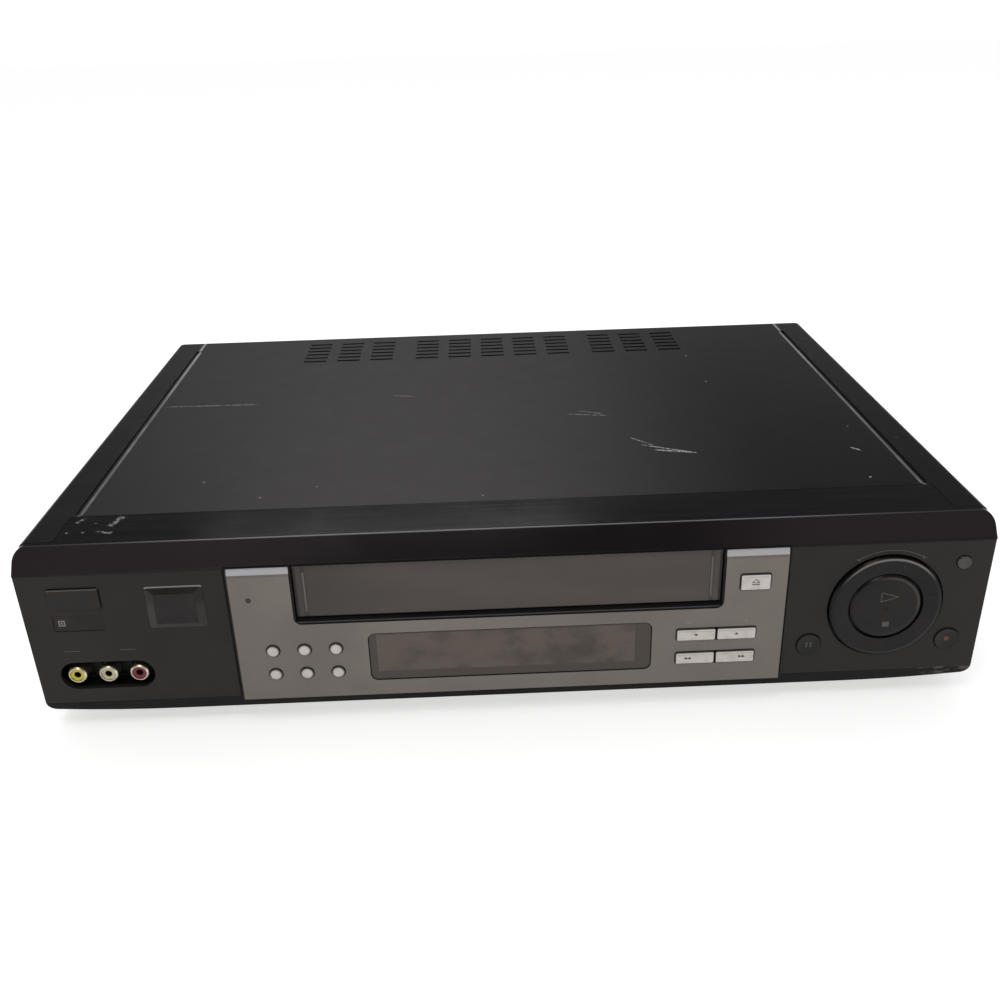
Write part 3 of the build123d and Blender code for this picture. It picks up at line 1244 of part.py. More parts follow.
def make_deck_plate():
    """Deck of the tape transport, with its slots, reel shafts, capstan bearing and pivots."""
    low = deck_z - DECK_SHEET
    plate = Pos(0, (deck_front_y + deck_back_y) / 2)
    plate *= RectangleRounded(2 * deck_half, deck_back_y - deck_front_y, DECK_CORNER)
    for side in (-1, 1):
        (x, y), run, turn = guide_run(side)
        slot = Pos(run / 2, 0) * SlotOverall(run + GUIDE_TENON + 2 * FIT, GUIDE_SLOT)
        plate -= Pos(x, y) * Rot(0, 0, turn) * slot
        across_deck, behind = DECK_WINDOW_AT
        plate -= Pos(side * across_deck, deck_front_y + behind) * Rectangle(*DECK_WINDOW)
    body = top_prism(plate, low, deck_z)
    apron_half = deck_half - DECK_APRON[0]
    body += block(-apron_half, apron_half, deck_front_y, deck_front_y + DECK_SHEET,
                  low - DECK_APRON[1], deck_z)
    for side in (-1, 1):
        body += post(side * REEL_PITCH / 2, reel_y, REEL_SHAFT_R, low, deck_z + REEL_SHAFT)
    x, y = deck_point(CAPSTAN)
    radius, above, below = CAPSTAN_BUSH
    body += post(x, y, radius, low - below, deck_z + above)
    body -= post(x, y, CAPSTAN_R + RUN_FIT, low - below - OVERCUT, deck_z + above + OVERCUT)
    x, y = deck_point(PINCH_PIVOT)
    body += post(x, y, PIVOT_R, low, deck_z + PIVOT_UP)
    body += post(x, y, PIVOT_R + DECK_SHEET, deck_z, deck_z + PINCH_ARM_UP - 2 * FIT)
    return body + post(0.0, reel_y - IDLER_REACH, PIVOT_R, low, deck_z + SEAM + IDLER_ARM + IDLER_H)


def toothed(radius, teeth):
    """Outline of a gear in x and y, out to this radius."""
    pitch = 2 * math.pi * radius / teeth
    root = radius - 1.8 * REEL_TOOTH[0]
    tooth = outline((root, -0.31 * pitch), (radius, -0.14 * pitch), (radius, 0.14 * pitch),
                    (root, 0.31 * pitch))
    gear = Circle(radius - REEL_TOOTH[0])
    for step in range(teeth):
        gear += Rot(0, 0, 360.0 / teeth * step) * tooth
    return gear


def make_reel_table(side):
    """Reel table: toothed rim, dished top and a spindle with three driving wings."""
    low = deck_z + SEAM
    high = low + REEL_TABLE_H
    bore = REEL_SHAFT_R + RUN_FIT
    ring, dish = REEL_RING
    neck = REEL_R - 2 * REEL_TOOTH[0]
    tooth_low = high - REEL_TOOTH[1]
    tip = high + REEL_SPINDLE
    profile = outline(
        (bore, low), (REEL_R, low), (REEL_R, tooth_low), (neck, tooth_low), (neck, high),
        (REEL_R - ring, high), (REEL_R - ring - REEL_BEVEL, high - dish),
        (REEL_HUB_R + REEL_BEVEL, high - dish), (REEL_HUB_R, high),
        (REEL_SPINDLE_R, high + REEL_BEVEL), (REEL_SPINDLE_R - REEL_BEVEL, tip - REEL_BEVEL), (bore, tip),
    )
    place = Pos(side * REEL_PITCH / 2, reel_y, 0)
    rim = toothed(REEL_R, REEL_TEETH) - Circle(REEL_R - 3 * REEL_TOOTH[0])
    body = revolve(Plane.XZ * profile, axis=Axis.Z) + top_prism(rim, tooth_low - FIT, high)
    for step in range(REEL_WINGS):
        wing = Pos(REEL_SPINDLE_R + REEL_WING[1] / 2, 0, high + REEL_WING[2] / 2) * Box(*REEL_WING)
        body += Rot(0, 0, 360.0 / REEL_WINGS * step) * wing
    return place * body


def arm_outline(x0, y0, x1, y1):
    """Lever in x and y: eye at its pivot and a smaller round at its end."""
    reach = math.hypot(x1 - x0, y1 - y0)
    turn = math.degrees(math.atan2(y1 - y0, x1 - x0))
    arm = Circle(ARM_EYE_R) + Pos(reach, 0) * Circle(ARM_END_R)
    arm += Pos(reach / 2, 0) * Rectangle(reach, ARM_WIDTH)
    return Pos(x0, y0) * Rot(0, 0, turn) * arm - Pos(x0, y0) * Circle(PIVOT_R + RUN_FIT)


def make_idler_arm():
    """Swinging arm that carries the idler gear to one reel table or the other."""
    low = deck_z + SEAM
    high = low + IDLER_ARM
    body = top_prism(arm_outline(0.0, reel_y - IDLER_REACH, 0.0, reel_y), low, high)
    return body + post(0.0, reel_y, ARM_PIN_R, high, high + IDLER_H + OVERCUT)


def make_idler_gear():
    """Small gear between the reel tables."""
    low = deck_z + SEAM + IDLER_ARM + 2 * FIT
    gear = toothed(IDLER_R, IDLER_TEETH) - Circle(ARM_PIN_R + RUN_FIT)
    return top_prism(Pos(0, reel_y) * gear, low, low + IDLER_H)


def make_capstan():
    """Capstan shaft with its flywheel under the deck."""
    x, y = deck_point(CAPSTAN)
    top = deck_z + CAPSTAN_UP
    wheel_top = deck_z - DECK_SHEET - CAPSTAN_BUSH[2] - 2 * SEAM
    low = wheel_top - FLYWHEEL_H
    web = low + FLYWHEEL_WEB
    rim = FLYWHEEL_R - FLYWHEEL_RIM
    hub = FLYWHEEL_R / 3
    profile = outline(
        (0, low), (hub - FLYWHEEL_WEB, low), (hub, web), (rim, web), (rim + FLYWHEEL_WEB, low),
        (FLYWHEEL_R, low), (FLYWHEEL_R, wheel_top), (CAPSTAN_R, wheel_top), (CAPSTAN_R, top), (0, top),
    )
    return Pos(x, y, 0) * revolve(Plane.XZ * profile, axis=Axis.Z)


def pinch_places():
    """Pivot of the pinch arm and its roller's place at rest, away from the capstan."""
    px, py = deck_point(PINCH_PIVOT)
    cx, cy = deck_point(CAPSTAN)
    gap = CAPSTAN_R + PINCH_R + FIT
    contact = math.radians(PINCH_CONTACT)
    dx = cx + gap * math.cos(contact) - px
    dy = cy + gap * math.sin(contact) - py
    swing = math.radians(-PINCH_SWING)
    rx = px + dx * math.cos(swing) - dy * math.sin(swing)
    ry = py + dx * math.sin(swing) + dy * math.cos(swing)
    return (px, py), (rx, ry)


def make_pinch_arm():
    """Lever on its pivot, with the roller's pin standing on its end."""
    (px, py), (rx, ry) = pinch_places()
    low = deck_z + PINCH_ARM_UP
    high = low + PINCH_ARM
    body = top_prism(arm_outline(px, py, rx, ry), low, high)
    return body + post(rx, ry, ARM_PIN_R, high, high + PINCH_H + ARM_PIN_R)


def make_pinch_roller():
    """Rubber roller on the arm's pin."""
    _, (rx, ry) = pinch_places()
    low = deck_z + PINCH_ARM_UP + PINCH_ARM + 2 * FIT
    body = post(rx, ry, PINCH_R, low, low + PINCH_H)
    body = chamfer(body.edges().filter_by(GeomType.CIRCLE), PINCH_BEVEL)
    return body - post(rx, ry, ARM_PIN_R + RUN_FIT, low - OVERCUT, low + PINCH_H + OVERCUT)


def make_guide_base(side):
    """Loading base in its deck slot: upright roller post and a leaning post beside it."""
    (x, y), _, turn = guide_run(side)
    place = Pos(x, y) * Rot(0, 0, turn)
    wide, deep, thick = GUIDE_BASE
    play = 2 * FIT
    base_low = deck_z + play
    base_top = base_low + thick
    under = deck_z - DECK_SHEET - play
    body = top_prism(place * RectangleRounded(wide, deep, GUIDE_CORNER), base_low, base_top)
    body += top_prism(place * SlotOverall(GUIDE_TENON, GUIDE_SLOT - play), under, base_low + play)
    keeper = place * RectangleRounded(wide - GUIDE_CORNER, deep - GUIDE_CORNER, GUIDE_CORNER / 2)
    body += top_prism(keeper, under - DECK_SHEET, under)
    radius, tall = GUIDE_POST
    body += post(x, y, radius, base_top - play, deck_z + tall)
    body += post(x, y, GUIDE_FLANGE[0], deck_z + tall, deck_z + tall + GUIDE_FLANGE[1])
    radius, tall, aside = GUIDE_LEAN_POST
    leaning = Pos(x, y, base_top - OVERCUT) * Rot(0, 0, turn) * Pos(-aside, 0, 0)
    leaning *= Rot(0, -GUIDE_LEAN, 0) * Cylinder(radius, tall, align=(Align.CENTER, Align.CENTER, Align.MIN))
    return body + leaning


drum_tilt = Pos(0, drum_y, drum_z) * Rot(0, DRUM_TILT, 0)


def make_drum_lower():
    """Fixed half of the head drum on its base, with the ledge that guides the tape's edge."""
    overhang, thick = DRUM_LEDGE
    foot = -DRUM_LOWER
    profile = outline(
        (0, -DRUM_SPLIT), (DRUM_R, -DRUM_SPLIT), (DRUM_R, foot + 2 * thick),
        (DRUM_R + overhang, foot + 2 * thick), (DRUM_R + overhang, foot + thick),
        (DRUM_R - overhang, foot), (0, foot),
    )
    wide, deep, corner = DRUM_BASE
    base_top = drum_z - DRUM_LOWER / 2
    body = drum_tilt * revolve(Plane.XZ * profile, axis=Axis.Z)
    body += top_prism(Pos(0, drum_y) * RectangleRounded(wide, deep, corner), deck_z, base_top)
    return body - drum_tilt * Cylinder(DRUM_SHAFT_R + RUN_FIT, 2 * (DRUM_SHAFT + OVERCUT))


def make_drum_upper():
    """Spinning half of the head drum: cap, head windows, hub and shaft."""
    rim, dish = DRUM_AIR
    hub, hub_height = DRUM_HUB
    floor = DRUM_UPPER - dish
    profile = outline(
        (0, -DRUM_SHAFT), (DRUM_SHAFT_R, -DRUM_SHAFT), (DRUM_SHAFT_R, DRUM_SPLIT), (DRUM_R, DRUM_SPLIT),
        (DRUM_R, DRUM_UPPER - DRUM_BEVEL), (DRUM_R - DRUM_BEVEL, DRUM_UPPER), (DRUM_R - rim, DRUM_UPPER),
        (DRUM_R - rim - DRUM_BEVEL, floor), (hub + DRUM_BEVEL, floor), (hub, floor + hub_height),
        (0, floor + hub_height),
    )
    body = revolve(Plane.XZ * profile, axis=Axis.Z)
    for step in range(HEAD_WINDOWS):
        opening = Pos(DRUM_R, 0, DRUM_SPLIT + HEAD_WINDOW[2] / 3) * Box(*HEAD_WINDOW)
        body -= Rot(0, 0, 360.0 / HEAD_WINDOWS * step) * opening
    return drum_tilt * body


def make_tape_heads():
    """Sound and control head behind the capstan, and the erase head on the other side."""
    made = []
    low, high = (deck_z + up for up in HEAD_LEVELS)
    for across_deck, behind, wide, deep in HEADS:
        place = Pos(*deck_point((across_deck, behind)))
        foot = top_prism(place * Rectangle(*HEAD_FOOT[:2]), deck_z, deck_z + HEAD_FOOT[2])
        stem = top_prism(place * Rectangle(HEAD_STEM, HEAD_STEM), deck_z, low + OVERCUT)
        head = top_prism(place * Rectangle(wide, deep), low, high)
        made.append(foot + stem + fillet(head.edges().filter_by(Axis.Z), HEAD_ROUND))
    return made


def make_cassette_basket():
    """Sheet-metal holder: roof, two sides, floor ledges, and pins that ride in the slides."""
    low = basket_floor_z
    high = basket_top_z + BASKET_SHEET
    ledge = basket_half - BASKET_LEDGE
    section = window(-basket_half, basket_half, low, high)
    section -= window(-basket_in_half, basket_in_half, low + BASKET_SHEET, basket_top_z)
    section -= window(-ledge, ledge, low - OVERCUT, low + 2 * BASKET_SHEET)
    body = front_prism(section, basket_front_y, basket_back_y)
    middle = (basket_front_y + basket_back_y) / 2
    opening = Pos(0, middle + BASKET_OPENING_BACK) * RectangleRounded(*BASKET_OPENING)
    body -= top_prism(opening, basket_top_z - OVERCUT, high + OVERCUT)
    pin_end = slider_half + SLIDE_SHEET - 2 * FIT
    wide, tall = BASKET_STOP
    for side in (-1, 1):
        for y in basket_pins:
            body += across(y, pin_z, SLIDER_PIN_R, side * (basket_half - BASKET_SHEET / 2), side * pin_end)
        # stop that the cassette's leading edge meets
        stop = side * (basket_in_half - BASKET_LEDGE / 2)
        body += block(stop - wide / 2, stop + wide / 2, basket_back_y - BASKET_SHEET, basket_back_y,
                      low + BASKET_SHEET / 2, low + tall)
    return body


def make_carriage_sliders():
    """Pair of slides: upright slots for the basket's pins and headed studs in the side plates."""
    made = []
    beyond, below, above = SLIDER_EDGE
    low = pin_z - DROP_TRAVEL - below
    high = stud_z + above
    first, last = slider_studs
    width = 2 * (SLIDER_PIN_R + SLIDE_FIT)
    for side in (-1, 1):
        outer = side * (slider_half + SLIDE_SHEET)
        plate = Pos((first + last) / 2, (low + high) / 2)
        plate *= RectangleRounded(last - first + 2 * beyond, high - low, SLIDER_CORNER)
        for y in basket_pins:
            plate -= Pos(y, pin_z - DROP_TRAVEL / 2) * Rot(0, 0, 90) * SlotOverall(DROP_TRAVEL + width, width)
        body = side_prism(plate, side * slider_half, outer)
        past = side * (carriage_half + SLIDE_SHEET + SEAM)
        overhang, thick = SLIDER_HEAD
        for y in slider_studs:
            body += across(y, stud_z, SLIDER_PIN_R, outer - side * SLIDE_SHEET / 2, past)
            body += across(y, stud_z, SLIDER_PIN_R + overhang, past, past + side * thick)
        made.append(body)
    return made


def make_carriage_frame():
    """Side plates with their guide slots, joined by a bridge and screwed down by their feet."""
    high = basket_top_z + BASKET_SHEET + CARRIAGE_UP
    front = basket_front_y + CARRIAGE_ENDS[0]
    back = basket_back_y + LOAD_TRAVEL + CARRIAGE_ENDS[1]
    bevel, fall = CARRIAGE_BEVEL
    step_start, step_end, step_up = CARRIAGE_STEP
    side_view = outline(
        (front, deck_z), (front, high - fall), (front + bevel, high), (back - step_start, high),
        (back - step_end, stud_z + step_up), (back, stud_z + step_up), (back, deck_z),
    )
    slot = 2 * (SLIDER_PIN_R + SLIDE_FIT)
    first, last = slider_studs[0], slider_studs[1] + LOAD_TRAVEL
    side_view -= Pos((first + last) / 2, stud_z) * SlotOverall(last - first + slot, slot)
    outer = carriage_half + SLIDE_SHEET
    bridge_front = front + BRIDGE[0]
    middle = bridge_front + BRIDGE[1] / 2
    body = block(-outer, outer, bridge_front, bridge_front + BRIDGE[1], high - SLIDE_SHEET, high)
    for step in (-1, 0, 1):
        hole = Pos(step * BRIDGE_HOLE_PITCH, middle) * Rectangle(*BRIDGE_HOLE)
        body -= top_prism(hole, high - SLIDE_SHEET - OVERCUT, high + OVERCUT)
    for side in (-1, 1):
        body += side_prism(side_view, side * carriage_half, side * outer)
        foot = carriage_half + CARRIAGE_FOOT
        foot_middle = side * (carriage_half + foot) / 2
        body += block(foot_middle - CARRIAGE_FOOT / 2, foot_middle + CARRIAGE_FOOT / 2, front + bevel / 2,
                      back - bevel / 2, deck_z, deck_z + SLIDE_SHEET)
    return body


# ---- Write every piece ---------------------------------------------------------------------------
def as_one(shapes):
    """Group of separate solids that share a node."""
    if isinstance(shapes, list):
        return Compound(children=shapes)
    return shapes


pieces = {
    "top_cover": make_top_cover(),
    "front_panel": make_front_panel(),
    "centre_panel": make_centre_panel(),
    "door_surround": make_door_surround(),
    "cassette_door": make_cassette_door(),
    "display_window": make_display_window(),
    "display_tube": make_display_tube(),
    "remote_sensor_window": make_sensor_window(),
    "tag_reader_pad": make_tag_pad(),
    "shuttle_ring": make_shuttle_ring(),
    "play_stop_disc": make_play_stop_disc(),
    "shuttle_encoder": make_shuttle_encoder(),
    "front_jack_block": make_front_jack_block(),
    "jack_sleeves": make_jack_sleeves(),
    "video_jack_inserts": make_inserts(0),
    "left_jack_inserts": make_inserts(1),
    "right_jack_inserts": make_inserts(2),
    "rear_jack_block": make_rear_jack_block(),
    "front_circuit_board": make_front_board(),
    "indicator_lens": make_indicator_lens(),
    "main_circuit_board": make_main_board(),
    "power_supply": make_power_supply(),
    "cover_screws": make_cover_screws(),
    "bottom_chassis": make_bottom_chassis(),
    "rear_panel": make_rear_panel(),
    "cord_gland": make_cord_gland(),
    "antenna_sockets": make_antenna_sockets(),
    "channel_switch": make_channel_switch(),
    "feet": make_feet(),
    "deck_plate": make_deck_plate(),
    "supply_reel_table": make_reel_table(-1),
    "take_up_reel_table": make_reel_table(1),
    "idler_arm": make_idler_arm(),
    "idler_gear": make_idler_gear(),
    "capstan_flywheel": make_capstan(),
    "pinch_roller_arm": make_pinch_arm(),
    "pinch_roller": make_pinch_roller(),
    "supply_guide_base": make_guide_base(-1),
    "take_up_guide_base": make_guide_base(1),
    "head_drum_lower": make_drum_lower(),
    "head_drum_upper": make_drum_upper(),
    "tape_heads": make_tape_heads(),
    "cassette_basket": make_cassette_basket(),
    "carriage_sliders": make_carriage_sliders(),
    "carriage_frame": make_carriage_frame(),
}
pieces.update(make_buttons())

os.makedirs("parts", exist_ok=True)
for name, shape in pieces.items():
    export_step(as_one(shape), f"parts/{name}.step")
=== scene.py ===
import math

import bpy
from mathutils import Matrix, Vector
from mathutils.bvhtree import BVHTree


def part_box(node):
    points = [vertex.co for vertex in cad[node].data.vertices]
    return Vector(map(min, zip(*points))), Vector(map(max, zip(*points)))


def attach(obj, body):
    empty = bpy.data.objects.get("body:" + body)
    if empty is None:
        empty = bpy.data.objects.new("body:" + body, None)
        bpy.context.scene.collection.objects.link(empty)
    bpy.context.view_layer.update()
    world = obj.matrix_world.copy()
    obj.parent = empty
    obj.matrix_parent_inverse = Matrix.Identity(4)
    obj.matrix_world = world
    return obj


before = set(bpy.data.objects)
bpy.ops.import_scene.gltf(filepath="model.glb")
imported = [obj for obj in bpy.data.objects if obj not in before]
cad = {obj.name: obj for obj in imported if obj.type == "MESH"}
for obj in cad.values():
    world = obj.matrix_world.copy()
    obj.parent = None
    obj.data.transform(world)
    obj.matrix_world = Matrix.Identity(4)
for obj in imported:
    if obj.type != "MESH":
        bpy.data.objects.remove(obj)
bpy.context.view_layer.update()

# ---- Steel top cover -----------------------------------------------------------------------------
# One folded sheet of steel, sprayed with a satin charcoal paint that has a fine grain. It slides
# back over the tray and is screwed to it at both flanks. The top has a painted highlight along the
# two pressed grooves and painted shade towards the right, and a few scratches and dust.


def linear(code):
    """Linear colour from a plain RRGGBB code."""
    parts = [int(code[i:i + 2], 16) / 255 for i in (0, 2, 4)]
    return tuple(c / 12.92 if c <= 0.04045 else ((c + 0.055) / 1.055) ** 2.4 for c in parts)


def step(tree, kind, inputs=None, **settings):
    """Node of any kind with its inputs set or linked."""
    made = tree.nodes.new(kind)
    for key, value in settings.items():
        setattr(made, key, value)
    for key, value in (inputs or {}).items():
        if isinstance(value, bpy.types.NodeSocket):
            tree.links.new(value, made.inputs[key])
        else:
            made.inputs[key].default_value = value
    return made


def add(tree, kind, inputs=None, **settings):
    """Shader node with its inputs set or linked."""
    return step(tree, "ShaderNode" + kind, inputs, **settings)


def finish_of(name, color, roughness, metallic=0.0, specular=0.4):
    """New material with its shader's plain numbers set."""
    made = bpy.data.materials.new(name)
    made.use_nodes = True
    tree = made.node_tree
    skin = tree.nodes["Principled BSDF"]
    skin.inputs["Base Color"].default_value = (*color, 1)
    skin.inputs["Roughness"].default_value = roughness
    skin.inputs["Metallic"].default_value = metallic
    skin.inputs["Specular IOR Level"].default_value = specular
    return made, tree, skin


def place(tree):
    """Object coordinates, in metres, and their three parts."""
    vector = add(tree, "TexCoord").outputs["Object"]
    parts = add(tree, "SeparateXYZ", {0: vector}).outputs
    return vector, parts


def grain(tree, vector, scale, detail=3.0, stretch=(1, 1, 1), offset=(0, 0, 0)):
    """Noise between 0 and 1, stretched along an axis where asked."""
    spot = add(tree, "Mapping", {"Vector": vector, "Scale": stretch, "Location": offset})
    return add(tree, "TexNoise", {"Vector": spot.outputs[0], "Scale": scale, "Detail": detail}).outputs[0]


def span(tree, value, low, high, start=0.0, end=1.0):
    """Value between low and high brought smoothly to between start and end."""
    return add(tree, "MapRange", {"Value": value, "From Min": low, "From Max": high, "To Min": start,
                                  "To Max": end}, interpolation_type="SMOOTHSTEP").outputs[0]


def calc(tree, operation, first, second=0.0):
    """Arithmetic on one or two values."""
    return add(tree, "Math", {0: first, 1: second}, operation=operation).outputs[0]


def both(tree, first, second):
    """Product of two masks, or of a mask and a share."""
    return calc(tree, "MULTIPLY", first, second)


def off_middle(tree, parts):
    """Distance from the plane midway between the flanks."""
    return calc(tree, "ABSOLUTE", parts[0])


def between(tree, value, low, high, soft):
    """1 inside a range of a coordinate and 0 outside it."""
    rise = span(tree, value, low - soft, low + soft)
    fall = span(tree, value, high - soft, high + soft, 1.0, 0.0)
    return both(tree, rise, fall)


def tint(tree, share, under, over):
    """Colour that goes from one to the other by a share."""
    made = add(tree, "Mix", data_type="RGBA")
    for index, value in ((0, share), (6, under), (7, over)):
        if isinstance(value, bpy.types.NodeSocket):
            tree.links.new(value, made.inputs[index])
        else:
            made.inputs[index].default_value = (*value, 1) if isinstance(value, tuple) else value
    return made.outputs[2]


def stain(tree, color, mask, share, code):
    """Colour with a share of another laid over it inside a mask."""
    return tint(tree, both(tree, mask, share), color, linear(code))


def relief(tree, skin, height, distance, strength=1.0):
    """Bump from a height between 0 and 1, distance in metres."""
    made = add(tree, "Bump", {"Height": height, "Distance": distance, "Strength": strength})
    tree.links.new(made.outputs[0], skin.inputs["Normal"])


def feed(tree, value, skin, name):
    """Link a value to a socket of the shader."""
    tree.links.new(value, skin.inputs[name])


def line_mask(tree, parts, a, b, width, axes=(0, 1)):
    """1 on a thin line between two points of a face, in metres."""
    (ax, ay), (bx, by) = a, b
    length = math.hypot(bx - ax, by - ay)
    ux, uy = (bx - ax) / length, (by - ay) / length
    u = calc(tree, "SUBTRACT", parts[axes[0]], ax)
    v = calc(tree, "SUBTRACT", parts[axes[1]], ay)
    run = calc(tree, "ADD", both(tree, u, ux), both(tree, v, uy))
    side = calc(tree, "ADD", both(tree, u, -uy), both(tree, v, ux))
    near = span(tree, calc(tree, "ABSOLUTE", side), width * 0.4, width, 1.0, 0.0)
    return both(tree, near, between(tree, run, 0.0, length, length * 0.08))


def most(tree, masks):
    """Highest of several masks."""
    result = masks[0]
    for mask in masks[1:]:
        result = calc(tree, "MAXIMUM", result, mask)
    return result


def dress(name, made):
    """Give a CAD node's slots this material."""
    for index in range(len(cad[name].data.materials)):
        cad[name].data.materials[index] = made


CASE_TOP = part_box("top_cover")[1].z
COVER_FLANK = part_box("top_cover")[1].x
GROOVE_X = COVER_FLANK - 0.0185  # the two pressed grooves run from front to back
# scratches on the top, each from one point to another and its width
SCRATCHES = (
    ((-0.1897, 0.0268), (-0.1397, 0.0255), 0.0004), ((0.0683, -0.0463), (0.0783, -0.0571), 0.0004),
    ((0.0734, -0.0567), (0.0977, -0.0690), 0.0007), ((0.0787, -0.0636), (0.0976, -0.0688), 0.0009),
    ((0.0384, -0.0083), (0.0600, -0.0127), 0.0003), ((0.0458, -0.0043), (0.0577, -0.0095), 0.0003),
    ((0.1762, -0.0697), (0.1797, -0.0736), 0.0008), ((-0.0600, 0.0320), (-0.0480, 0.0300), 0.0003),
)
# dust and chips: place and radius
CHIPS = (
    (0.1735, -0.1060, 0.0009), (0.1250, 0.0375, 0.0008), (0.1227, 0.0873, 0.0008),
    (0.1839, -0.0412, 0.0006), (-0.1454, -0.0831, 0.0008), (-0.1147, -0.1033, 0.0007),
    (-0.0893, -0.0930, 0.0006), (-0.0099, -0.1100, 0.0006),
)


def away_from(tree, parts, x, y, axes=(0, 1)):
    """How far a point of a face is from another along both axes, and its distance squared."""
    dx = calc(tree, "SUBTRACT", parts[axes[0]], x)
    dy = calc(tree, "SUBTRACT", parts[axes[1]], y)
    return dx, dy, calc(tree, "ADD", both(tree, dx, dx), both(tree, dy, dy))


def spot_mask(tree, parts, x, y, radius, axes=(0, 1)):
    """1 inside a small round spot of a face, seen from above unless other axes are given."""
    far = away_from(tree, parts, x, y, axes)[2]
    return span(tree, far, radius * radius * 0.4, radius * radius, 1.0, 0.0)


cover_paint, tree, skin = finish_of("cover_paint", linear("1b1a1b"), 0.5, specular=0.26)
vector, parts = place(tree)
cloud = grain(tree, vector, 9.0, 3.0)
fine = grain(tree, vector, 2600.0, 2.0)
haze = grain(tree, vector, 70.0, 6.0, offset=(3, 1, 2))
on_top = span(tree, parts[2], CASE_TOP - 0.002, CASE_TOP - 0.001)
aside = off_middle(tree, parts)
# painted shade: the top is darker to the right and at the far left; it is also glossier to the right, and
# darker and glossier outside the grooves
right = span(tree, parts[0], 0.03, 0.15)
margin = span(tree, aside, GROOVE_X + 0.001, GROOVE_X + 0.003)
paint = tint(tree, right, linear("201e1e"), linear("07070a"))
paint = tint(tree, span(tree, parts[0], -0.19, -0.06, 0.35, 0.0), paint, linear("0d0d10"))
paint = stain(tree, paint, span(tree, cloud, 0.3, 0.7), 0.25, "252221")
paint = stain(tree, paint, span(tree, haze, 0.5, 0.8), 0.2, "2b2827")
paint = stain(tree, paint, span(tree, fine, 0.35, 0.65), 0.25, "101011")
paint = stain(tree, paint, right, 0.6, "040406")
paint = stain(tree, paint, margin, 0.7, "08080a")
# scratches broken up by a grain, a painted highlight along the grooves, brighter towards the rear, and dust
# and chips
scratch = most(tree, [line_mask(tree, parts, a, b, width) for a, b, width in SCRATCHES])
scratch = both(tree, scratch, span(tree, grain(tree, vector, 900.0, 3.0), 0.32, 0.6))
scratch = both(tree, scratch, on_top)
worn = between(tree, aside, GROOVE_X - 0.0008, GROOVE_X + 0.0007, 0.0005)
groove_highlight_fade = calc(tree, "ADD", span(tree, parts[1], 0.00, 0.11, 0.45, 0.95),
            span(tree, grain(tree, vector, 45.0, 4.0, (0.2, 1, 0.2)), 0.4, 0.7, 0.0, 0.3))
worn = both(tree, worn, groove_highlight_fade)
worn = both(tree, worn, span(tree, parts[2], CASE_TOP - 0.004, CASE_TOP - 0.002))
chips = most(tree, [spot_mask(tree, parts, *chip) for chip in CHIPS])
speck = span(tree, grain(tree, vector, 620.0, 1.0, offset=(7, 0, 3)), 0.81, 0.85)
speck = both(tree, calc(tree, "MAXIMUM", speck, chips), on_top)
# painted highlight along the two grooves
paint = stain(tree, paint, worn, 0.8, "a3a2a1")
paint = stain(tree, paint, speck, 0.55, "b0ada8")
paint = stain(tree, paint, scratch, 0.75, "c9c8c6")
feed(tree, paint, skin, "Base Color")
rough = span(tree, haze, 0.2, 0.8, 0.41, 0.46)
polish = calc(tree, "MAXIMUM", both(tree, margin, 0.19), both(tree, right, 0.12))
rough = calc(tree, "SUBTRACT", rough, polish)
feed(tree, rough, skin, "Roughness")
relief(tree, skin, fine, 0.00006, 0.5)
dress("top_cover", cover_paint)

# ---- Moulded front panel -------------------------------------------------------------------------
# Black styrene moulding that carries every control. Its slanted band is polished, the upright face
# below is matt, the chin under it is tucked in, and the strip on top of the case is hairlined. It
# is screwed to the tray and the front board stands on its posts.
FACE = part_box("centre_panel")[0].y + 0.001  # upright face: the centre panel stands 1 mm proud of it
PANEL_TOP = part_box("centre_panel")[1].z
PANEL_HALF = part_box("centre_panel")[1].x
EDGE = FACE + 0.0075  # where the slanted band meets the strip on top
CHIN_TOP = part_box("front_panel")[0].z + 0.0081
# roughness of the face, the band, the strip, and the chin and shut lines, as greys to be mixed
MATT, BAND_GLOSS, STRIP_GLOSS, DULL = ((rough,) * 3 for rough in (0.46, 0.16, 0.12, 0.8))

# rubbed marks at the left end of the strip, each from one point to another and its width
SCUFFS = (
    ((-0.1941, -0.1233), (-0.1913, -0.1186), 0.0011), ((-0.1969, -0.1341), (-0.1949, -0.1327), 0.0009),
    ((-0.1867, -0.1239), (-0.1837, -0.1242), 0.0007), ((-0.1780, -0.1279), (-0.1746, -0.1184), 0.0021),
    ((-0.1824, -0.1330), (-0.1750, -0.1344), 0.0013), ((-0.1995, -0.1380), (-0.2000, -0.1195), 0.0003),
    ((-0.1891, -0.1339), (-0.1877, -0.1326), 0.0008),
)


def other(tree, mask):
    """1 where a mask is 0."""
    return calc(tree, "SUBTRACT", 1.0, mask)


def mottle(tree, cloud, low, high, first, second):
    """Colour that goes from one code to another as a grain goes from low to high."""
    return tint(tree, span(tree, cloud, low, high), linear(first), linear(second))


bezel, tree, skin = finish_of("bezel_black", linear("1f1d1d"), 0.5, specular=0.22)
vector, parts = place(tree)
fine = grain(tree, vector, 3200.0, 2.0)
smudge = grain(tree, vector, 38.0, 5.0, offset=(5, 5, 0))
hairs = grain(tree, vector, 520.0, 2.0, (0.02, 1.0, 0.02))
face_color = mottle(tree, smudge, 0.35, 0.75, "211e1c", "282523")
